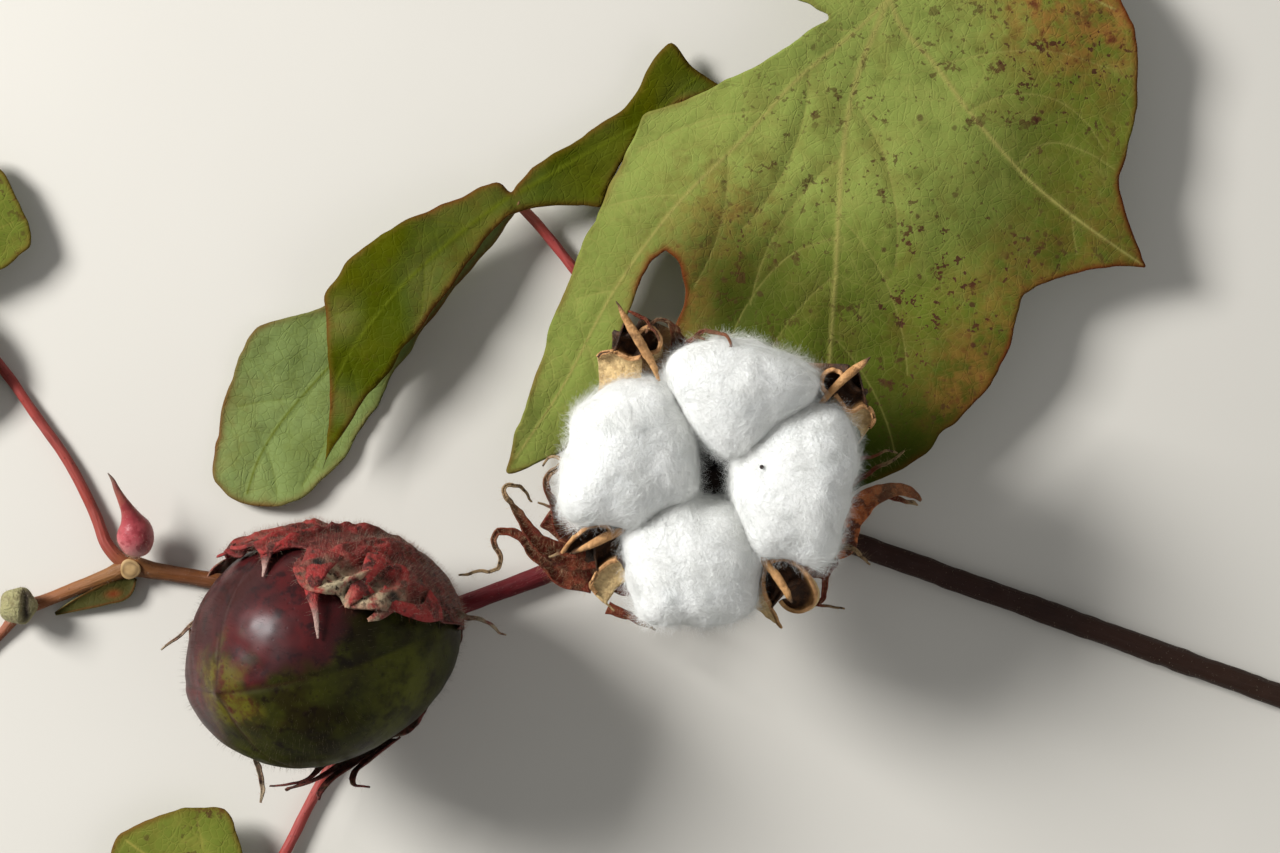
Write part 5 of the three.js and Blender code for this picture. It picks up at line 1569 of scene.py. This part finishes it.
def inside(points, outline):
    """Whether each flat point lies inside a closed outline."""
    crossings = np.zeros(len(points), int)
    for (ax, ay), (bx, by) in zip(outline, np.roll(outline, -1, axis=0)):
        spans = (ay > points[:, 1]) != (by > points[:, 1])
        if ay != by:
            crossings += spans & (points[:, 0] < ax + (points[:, 1] - ay) * (bx - ax) / (by - ay))
    return crossings % 2 == 1


def sampled(knots, step):
    knots = np.array([(*knot, 0) for knot in knots], float)
    length = np.linalg.norm(np.diff(knots, axis=0), axis=1).sum()
    return smooth_path(knots, max(4, round(length / step)))[:, :2]


def branch_veins(mains, outline):
    """Side veins of each main vein, in turn left and right, which stop where another main vein is nearer."""
    step = 0.5
    spines = [sampled(knots, step) for _, knots in mains]
    owners = np.concatenate([np.full(len(spine), k) for k, spine in enumerate(spines)])
    found = []
    for owner, spine in enumerate(spines):
        tangents = unit(np.gradient(spine, axis=0))
        for count, index in enumerate(range(18, len(spine) - 8, round(SIDE_VEIN_SPACING / step))):
            side = 1 if count % 2 else -1
            heading = math.atan2(*tangents[index, ::-1]) + side * math.radians(SIDE_VEIN_ANGLE)
            reach = np.linspace(0, SIDE_VEIN_REACH, 60)
            turn = heading - side * math.radians(SIDE_VEIN_BEND) * reach / SIDE_VEIN_REACH
            path = spine[index] + stack(reach * np.cos(turn), reach * np.sin(turn))
            owner_here, _ = nearest(path, np.concatenate(spines))
            _, to_edge = nearest(path, outline)
            good = inside(path, outline) & (owners[owner_here] == owner) & (to_edge > 1.5)
            length = len(good) if good.all() else int(np.argmin(good))
            if length > 8:
                found.append((0.2, path[:length:4].tolist()))
    return found


def wavy_outline(anchors, seed):
    """A leaf's outline with small waves along it, and the way outward at each of its points."""
    outline = bowed_outline(anchors, BLADE_STEP)
    rim = stack(outline[:, 0], outline[:, 1], 0)
    wave = 0.45 * noise(rim, 5.0, seed) + 0.22 * noise(rim, 1.8, seed + 5)
    for _ in range(4):
        outline = outline / 2 + (np.roll(outline, 1, axis=0) + np.roll(outline, -1, axis=0)) / 4
    run = unit(np.roll(outline, -1, axis=0) - np.roll(outline, 1, axis=0))
    outward = stack(run[:, 1], -run[:, 0])
    return outline + wave[:, None] * outward, outward


def vein_samples(mains, sides):
    """Points along every vein, its half width at each, and 1 where it is a main vein."""
    samples = []
    for index, (half, knots) in enumerate([*mains, *sides]):
        line = sampled(knots, 0.2)
        half = np.maximum(half * np.linspace(1, 0.4, len(line)), 0.16)
        samples.append(stack(line[:, 0], line[:, 1], half, float(index < len(mains))))
    samples = np.concatenate(samples)
    return samples[:, :2], samples[:, 2], samples[:, 3]


def vein_rows(mains, sides, outline):
    """Rows of points along every vein and beside it, which a blade's mesh follows."""
    rows = []
    for index, (_, knots) in enumerate([*mains, *sides]):
        course = sampled(knots, BLADE_STEP)
        normal = unit(np.gradient(course, axis=0))[:, ::-1] * (-1, 1)
        offsets = (0, 0.35, -0.35, 0.8, -0.8) if index < len(mains) else (0, 0.3, -0.3)
        rows += [course + normal * offset for offset in offsets]
    rows = np.concatenate(rows)
    rows = rows[inside(rows, outline) & (nearest(rows, outline)[1] > 0.4)]
    # Rows of one vein may cross those of another: of two points that nearly meet, one stays.
    kept = np.unique(np.round(rows / 0.27), axis=0, return_index=True)[1]
    return rows[np.sort(kept)]


def blade_mesh(outline, outward, rows):
    """Flat points and triangles that fill an outline, with the given rows of points among them."""
    low, high = outline.min(axis=0), outline.max(axis=0)
    columns = np.arange(low[0], high[0], BLADE_STEP)
    lines = np.arange(low[1], high[1], BLADE_STEP * ROW_SHARE)
    x, y = np.meshgrid(columns, lines)
    x = x + np.where(np.arange(len(lines)) % 2, BLADE_STEP / 2, 0)[:, None]
    grid = stack(x.ravel(), y.ravel())
    grid = grid[inside(grid, outline)]
    grid = grid[(nearest(grid, outline)[1] > 0.75) & (nearest(grid, rows)[1] > 0.42)]
    inner = outline - 0.5 * outward
    inner = inner[inside(inner, outline) & (nearest(inner, rows)[1] > 0.42)]
    flat = np.concatenate([outline, inner, rows, grid])
    ring = [(i, (i + 1) % len(outline)) for i in range(len(outline))]
    vertices, _, triangles, *_ = delaunay_2d_cdt([Vector(p) for p in flat.tolist()], ring, [], 1, 1e-5)
    flat = np.array([tuple(v) for v in vertices])
    triangles = np.array([tuple(t) for t in triangles])
    a, b, c = flat[triangles[:, 0]], flat[triangles[:, 1]], flat[triangles[:, 2]]
    area = (b[:, 0] - a[:, 0]) * (c[:, 1] - a[:, 1]) - (b[:, 1] - a[:, 1]) * (c[:, 0] - a[:, 0])
    return flat, np.where((area < 0)[:, None], triangles[:, ::-1], triangles)


def leaf_blade(junction, anchors, mains, sides, height, marks, seed):
    """A leaf's blade: a thin closed sheet, fine along its veins, puffed up a little between them."""
    outline, outward = wavy_outline(anchors, seed)
    flat, triangles = blade_mesh(outline, outward, vein_rows(mains, sides, outline))
    samples, half_widths, mainly = vein_samples(mains, sides)
    hit, to_vein = nearest(flat, samples)
    _, to_edge = nearest(flat, outline)
    half = half_widths[hit]
    main = mainly[hit]
    spread = stack(flat[:, 0], flat[:, 1], 0)
    puff = (1 - np.exp(-to_vein / 2.6)) * (0.6 + 0.4 * noise(spread, 6, seed + 1))
    ridge = 0.22 * main * bell(to_vein, half)
    ruffle = 0.6 * noise(spread, 9, seed + 2) * np.exp(-to_edge / 5) + 0.10 * noise(spread, 2.0, seed + 3)
    ruffle = ruffle + 1.5 * noise(spread, 20, seed + 4)
    level = height(flat[:, 0], flat[:, 1]) + puff - 0.3 + ridge + ruffle
    level = np.maximum(level, BLADE_THICKNESS * 0.6)
    points = stack(flat[:, 0] + junction[0], flat[:, 1] + junction[1], level)
    points, faces, back = thickened(points, triangles, BLADE_THICKNESS)
    tone = np.where(main > 0, 0.8, 0.34) * bell(to_vein, np.maximum(half, 0.2))
    values = {"vein": tone, **marks(flat, to_edge, spread)}
    values = {name: np.tile(np.clip(value, 0, 1), 2) for name, value in values.items()}
    values["under"] = back
    return points, faces, values


def near_spot(flat, x, y, size):
    return np.exp(-(((flat[:, 0] - x) ** 2 + (flat[:, 1] - y) ** 2) / size**2))


def big_leaf_marks(flat, to_edge, spread):
    """Where the big leaf is paler or darker as painted light and shade, speckled, rusted or burnt along its
    edge.
    """
    x, y = flat[:, 0], flat[:, 1]
    left_lobe = soft_step(-x, 22, 38) * soft_step(-y - 0.2 * x, 6, 20)
    sinus = near_spot(flat, -42, -50, 9) + near_spot(flat, -38, -60, 8)
    # Painted shade beside the sinus.
    shade_beside_sinus = near_spot(flat, -31, -54, 13)
    upper_right = near_spot(flat, 38, 0, 14) + 0.7 * near_spot(flat, 30, 10, 12)
    right_tip = near_spot(flat, 46, -44, 13)
    lower_right = near_spot(flat, 24, -58, 12) + near_spot(flat, 14, -72, 9)
    rough = noise(spread, 5, 140)
    burn = 0.25 + 0.5 * rough + sinus + 0.8 * upper_right + right_tip + 0.6 * lower_right
    # Painted sunlight on the upper middle, less towards the right, and painted shade towards the lower right.
    sunny = soft_step(y + 4 * noise(spread, 14, 141), -60, -30) * (1 - 0.95 * soft_step(x, 10, 34))
    shade = soft_step(-y + 0.25 * x + 5 * noise(spread, 12, 142), 50, 84) * (1 - left_lobe)
    clusters = near_spot(flat, -31, -40, 14) + near_spot(flat, 33, -11, 16) + near_spot(flat, 19, -57, 14)
    clusters += near_spot(flat, 6, -55, 14) + 0.6 * near_spot(flat, -2, -24, 14)
    return {
        # pale paints sunlight on the left lobe and upper middle; shade paints shade below, beside the sinus
        # and on the right.
        "pale": np.maximum(0.6 * left_lobe, 0.8 * sunny),
        "shade": np.maximum(shade, shade_beside_sinus + 0.5 * near_spot(flat, 28, -42, 20)),
        "specks": (0.5 + 0.6 * clusters) * (1 - 0.75 * left_lobe),
        "rust": 1.3 * upper_right + 0.8 * sinus * np.exp(-to_edge / 4) + 0.5 * right_tip + 0.6 * lower_right
        + 0.5 * near_spot(flat, -31, -38, 10),
        "rim": np.clip(burn, 0, 1) * np.exp(-((to_edge / 0.8) ** 2)),
    }


def plain_marks(pale, specks, rust):
    """The marks of a leaf that is much the same all over."""

    def marks(flat, to_edge, spread):
        rough = noise(spread, 8, 150)
        return {
            "pale": pale + 0.2 * rough,
            "specks": np.full(len(flat), specks),
            "rust": rust * soft_step(rough, 0.0, 0.5) * np.exp(-to_edge / 5),
            "rim": (0.6 + 0.4 * rough) * np.exp(-((to_edge / 0.8) ** 2)),
        }

    return marks


def add_leaves(finishes):
    outline = bowed_outline(BIG_OUTLINE, 1.0)
    kept = [vein for vein in branch_veins(BIG_VEINS, outline) if vein[1][0][0] < 4 or vein[1][0][1] < -36]
    sides = [*BIG_SIDE_VEINS, *kept]
    big = leaf_blade(BIG_JUNCTION, BIG_OUTLINE, BIG_VEINS, sides, big_leaf_height, big_leaf_marks, 160)
    make_piece("big_leaf", big, finishes["big"], ("big_leaf_blade",))
    halves = []
    # The lower half's pale share is partly its own grey-green and partly painted sunlight.
    for anchors, veins, height, pale in (
        (SECOND_UPPER_OUTLINE, SECOND_UPPER_VEINS, second_upper_height, 0.1),
        (SECOND_LOWER_OUTLINE, SECOND_LOWER_VEINS, second_lower_height, 0.95),
    ):
        sides = branch_veins(veins, bowed_outline(anchors, 1.0))
        marks = plain_marks(pale, 0.4, 0.25)
        halves.append(leaf_blade(SECOND_JUNCTION, anchors, veins, sides, height, marks, 170))
    make_piece("second_leaf", joined(halves), finishes["second"], ("second_leaf_blade",))
    for name, leaf in SMALL_LEAVES.items():
        anchors = small_leaf_outline(leaf["axis"], leaf["length"])
        veins = small_leaf_veins(leaf["axis"], leaf["length"])
        sides = branch_veins(veins, bowed_outline(anchors, 1.0))
        marks = plain_marks(0.3, 0.6, 0.6)
        blade = leaf_blade(leaf["junction"], anchors, veins, sides, small_leaf_height(leaf), marks, 180)
        make_piece(f"{name}_leaf", blade, finishes["small"], (f"{name}_leaf_blade",))


# Buds and scale

# The young bud from its foot to its drawn-out tip, with its radius at each knot.
YOUNG_BUD = [(-95.6, -24.8, 4.8, 0.7), (-95.4, -23.6, 5.2, 2.2), (-95.1, -22.2, 6.0, 3.15),
             (-95.0, -20.6, 7.0, 3.5), (-95.1, -18.9, 8.0, 3.0), (-95.5, -17.3, 8.8, 2.05),
             (-96.1, -15.7, 9.6, 1.35), (-97.0, -13.8, 10.5, 0.9), (-98.0, -11.6, 11.2, 0.6),
             (-98.7, -9.9, 11.6, 0.35), (-99.5, -8.7, 11.8, 0.1)]
# The dry scale's middle line, with its half width at each knot.
DRY_SCALE = [(-96.2, -28.4, 1.8, 0.9), (-98.0, -30.5, 1.7, 2.1), (-101.4, -31.8, 1.5, 2.0),
             (-106.3, -33.6, 1.2, 1.3), (-111.1, -35.6, 1.0, 0.25)]


def add_young_bud(finish, fuzz):
    path = smooth_path(YOUNG_BUD, 70)
    points, faces, along, _ = tube(path, 36)
    points = points + 0.08 * noise(points, 2.6, 190)[:, None]
    values = {"along": along, "cover": np.ones(len(points))}
    piece = make_piece("pointed_bud", (points, faces, values), finish, ("young_bud",))
    grow_hairs("pointed_bud_hairs", "pointed_bud_hairs", piece, fuzz, 191)


def add_dry_scale(finish):
    """A dry leaf-like scale at the third node, cupped along its middle, with a dark spot near its foot."""
    share, across = grid_places(40, 13)
    line = smooth_path(DRY_SCALE, 40)
    side = unit(np.cross(np.gradient(line[:, :3], axis=0), [0, 0, 1.0]))
    path = np.repeat(line, 13, axis=0)
    points = path[:, :3] + np.repeat(side, 13, axis=0) * (across * path[:, 3])[:, None]
    points[:, 2] += 0.35 * across**2 * path[:, 3] + 0.25 * noise(points, 2, 192)
    points, faces, back = thickened(points, grid_faces(40, 13), 0.35)
    spot = np.tile(bell(share - 0.3, 0.07) * bell(across + 0.2, 0.35), 2)
    edge = np.tile(soft_step(np.abs(across), 0.75, 1.0), 2)
    pale = np.full(len(back), 0.3)
    values = {"rust": spot, "rim": np.maximum(0.6 * edge, spot), "pale": pale, "under": back}
    make_piece("shed_scale", (points, faces, values), finish, ("dry_scale",))


def add_withered_bud(finish, fuzz):
    """A small round bud that has shrivelled, with a deep cleft in its side."""

    def surface(turn, rise):
        over = math.pi * rise
        pinch = 1 - 0.05 * np.cos(5 * turn * 2 * math.pi + 2 * over) * np.sin(over)
        local = round_axis(3.5 * np.sin(over) * pinch, turn * 360, -3.5 * np.cos(over))
        cleft = bell(local[:, 0] - 1.5, 0.7) * soft_step(local[:, 2], 0.5, 2.5)
        local = local - unit(local) * (0.9 * cleft)[:, None]
        return local + 0.1 * noise(local, 2.0, 193)[:, None]

    points, faces = round_body(surface, 60, 40)
    crease = bell(points[:, 0] - 1.7, 0.8) * soft_step(points[:, 2], 0.0, 1.6)
    shape = (placed(points, frame_at((-117.2, -33.8, 6.2), (0.1, 0.1, 0.95))), faces,
             {"crease": crease, "cover": np.ones(len(points))})
    piece = make_piece("shrivelled_bud", shape, finish, ("withered_bud",))
    grow_hairs("shrivelled_bud_hairs", "shrivelled_bud_hairs", piece, fuzz, 194)


# Room, camera and lights

# In metres: how far the floor reaches from the middle, how far it lies under the branch, and the camera's
# height. Each lamp has its place, the length of its sides and its power in watts.
FLOOR_HALF = 1.5
FLOOR_DROP = 0.0002
CAMERA_HEIGHT = 676.5 / METRE
LAMPS = {"window": ((-0.8, 0.4, 0.67), 0.36, 19.8), "fill": ((0.8, -0.3, 0.7), 0.8, 1.8)}


def aim(thing, place, target):
    thing.location = Vector(place)
    thing.rotation_euler = (Vector(target) - Vector(place)).to_track_quat("-Z", "Y").to_euler()


def add_room(finish):
    mesh = bpy.data.meshes.new("floor")
    corners = [(x * FLOOR_HALF, y * FLOOR_HALF, 0) for x, y in ((-1, -1), (1, -1), (1, 1), (-1, 1))]
    mesh.from_pydata(corners, [], [(0, 1, 2, 3)])
    mesh.materials.append(finish)
    floor = new_object("floor", mesh)
    floor.location.z = -FLOOR_DROP
    world = bpy.data.worlds.new("soft_room")
    world.use_nodes = True
    world.node_tree.nodes["Background"].inputs["Color"].default_value = (0.96, 0.98, 1.0, 1.0)
    world.node_tree.nodes["Background"].inputs["Strength"].default_value = 0.24
    bpy.context.scene.world = world
    for name, (place, size, power) in LAMPS.items():
        light = bpy.data.lights.new(name, "AREA")
        light.size = size
        light.energy = power
        aim(new_object(name, light), place, (0, 0, 0.02))


def add_camera():
    """A 100 mm lens looking straight down on the branch."""
    lens = bpy.data.cameras.new("camera")
    lens.lens = 100
    lens.sensor_width = 36
    lens.clip_start = 0.05
    camera = new_object("camera", lens)
    camera.location = (*SHIFT[:2] / METRE, CAMERA_HEIGHT)
    bpy.context.scene.camera = camera
    bpy.context.scene.view_settings.view_transform = "Standard"


# Colours of the stems from foot to tip: the share of the way along and the colour there.
# Near the branch's foot the dark brown is partly its own and partly painted shade.
BARK_TONES = (
    (0.0, 0x2A190F), (0.36, 0x30170F), (0.43, 0x4E0E10), (0.62, 0x5E0D14), (0.68, 0x5A2E16), (0.83, 0x683C1C),
    (0.88, 0x80562E), (1.0, 0x8A4A34),
)
PETIOLE_TONES = ((0.0, 0x7A4A2A), (0.08, 0x88382C), (0.85, 0x963A36), (0.97, 0x904A36), (1.0, 0x7E5C34))
PEDICEL_TONES = ((0.0, 0x5A2018), (0.6, 0x4E2C1A), (1.0, 0x3E3018))


def build():
    add_camera()
    add_room(floor_finish())
    bark = stem_finish("young_cotton_bark", BARK_TONES, 0.55)
    petiole = stem_finish("sappy_leaf_stalk", PETIOLE_TONES, 0.5)
    pedicel = stem_finish("boll_stalk", PEDICEL_TONES, 0.55)
    grey_hair = hair_finish("grey_plant_hairs", 0xB5A892)
    red_hair = hair_finish("reddish_bract_hairs", 0x94503E)
    tan_hair = hair_finish("tan_bract_hairs", 0xC2A680)

    branch = add_branch(bark)
    grow_hairs("branch_hairs", "branch_hairs", branch, grey_hair, 201)
    add_stalks(petiole, pedicel)
    add_locks(lint_finish(), lint_fibre_finish())
    add_valves(burr_finish())
    add_open_bracts(dried_bract_finish(), tan_hair)
    skin_hair = hair_finish("boll_skin_hairs", 0x4E4530)
    add_closed_boll(boll_finish(), bract_finish(), skin_hair, grey_hair, red_hair)
    # The fourth colour, pale, is partly a leaf's own paler green and partly painted sunlight. The last,
    # shade, is the big leaf's painted shade, and elsewhere only a darker mottle.
    add_leaves({
        "big": leaf_finish("big_cotton_leaf", 0x5A6520, 0x4C5619, 0x859148, 0x928A4C, 0x2C3606),
        "second": leaf_finish("shaded_cotton_leaf", 0x3A4300, 0x4C4E00, 0x74834C, 0x565E10, 0x2C3600, 0.3),
        "small": leaf_finish("young_cotton_leaf", 0x5A6520, 0x4C5619, 0x7A8238, 0x8A803C, 0x3C4814),
    })
    add_young_bud(bud_finish(), grey_hair)
    add_dry_scale(leaf_finish("dry_stipule", 0x38361A, 0x2E2C12, 0x46441E, 0x4E4020, 0x2C2810, 0.3))
    add_withered_bud(withered_finish(), grey_hair)


build()
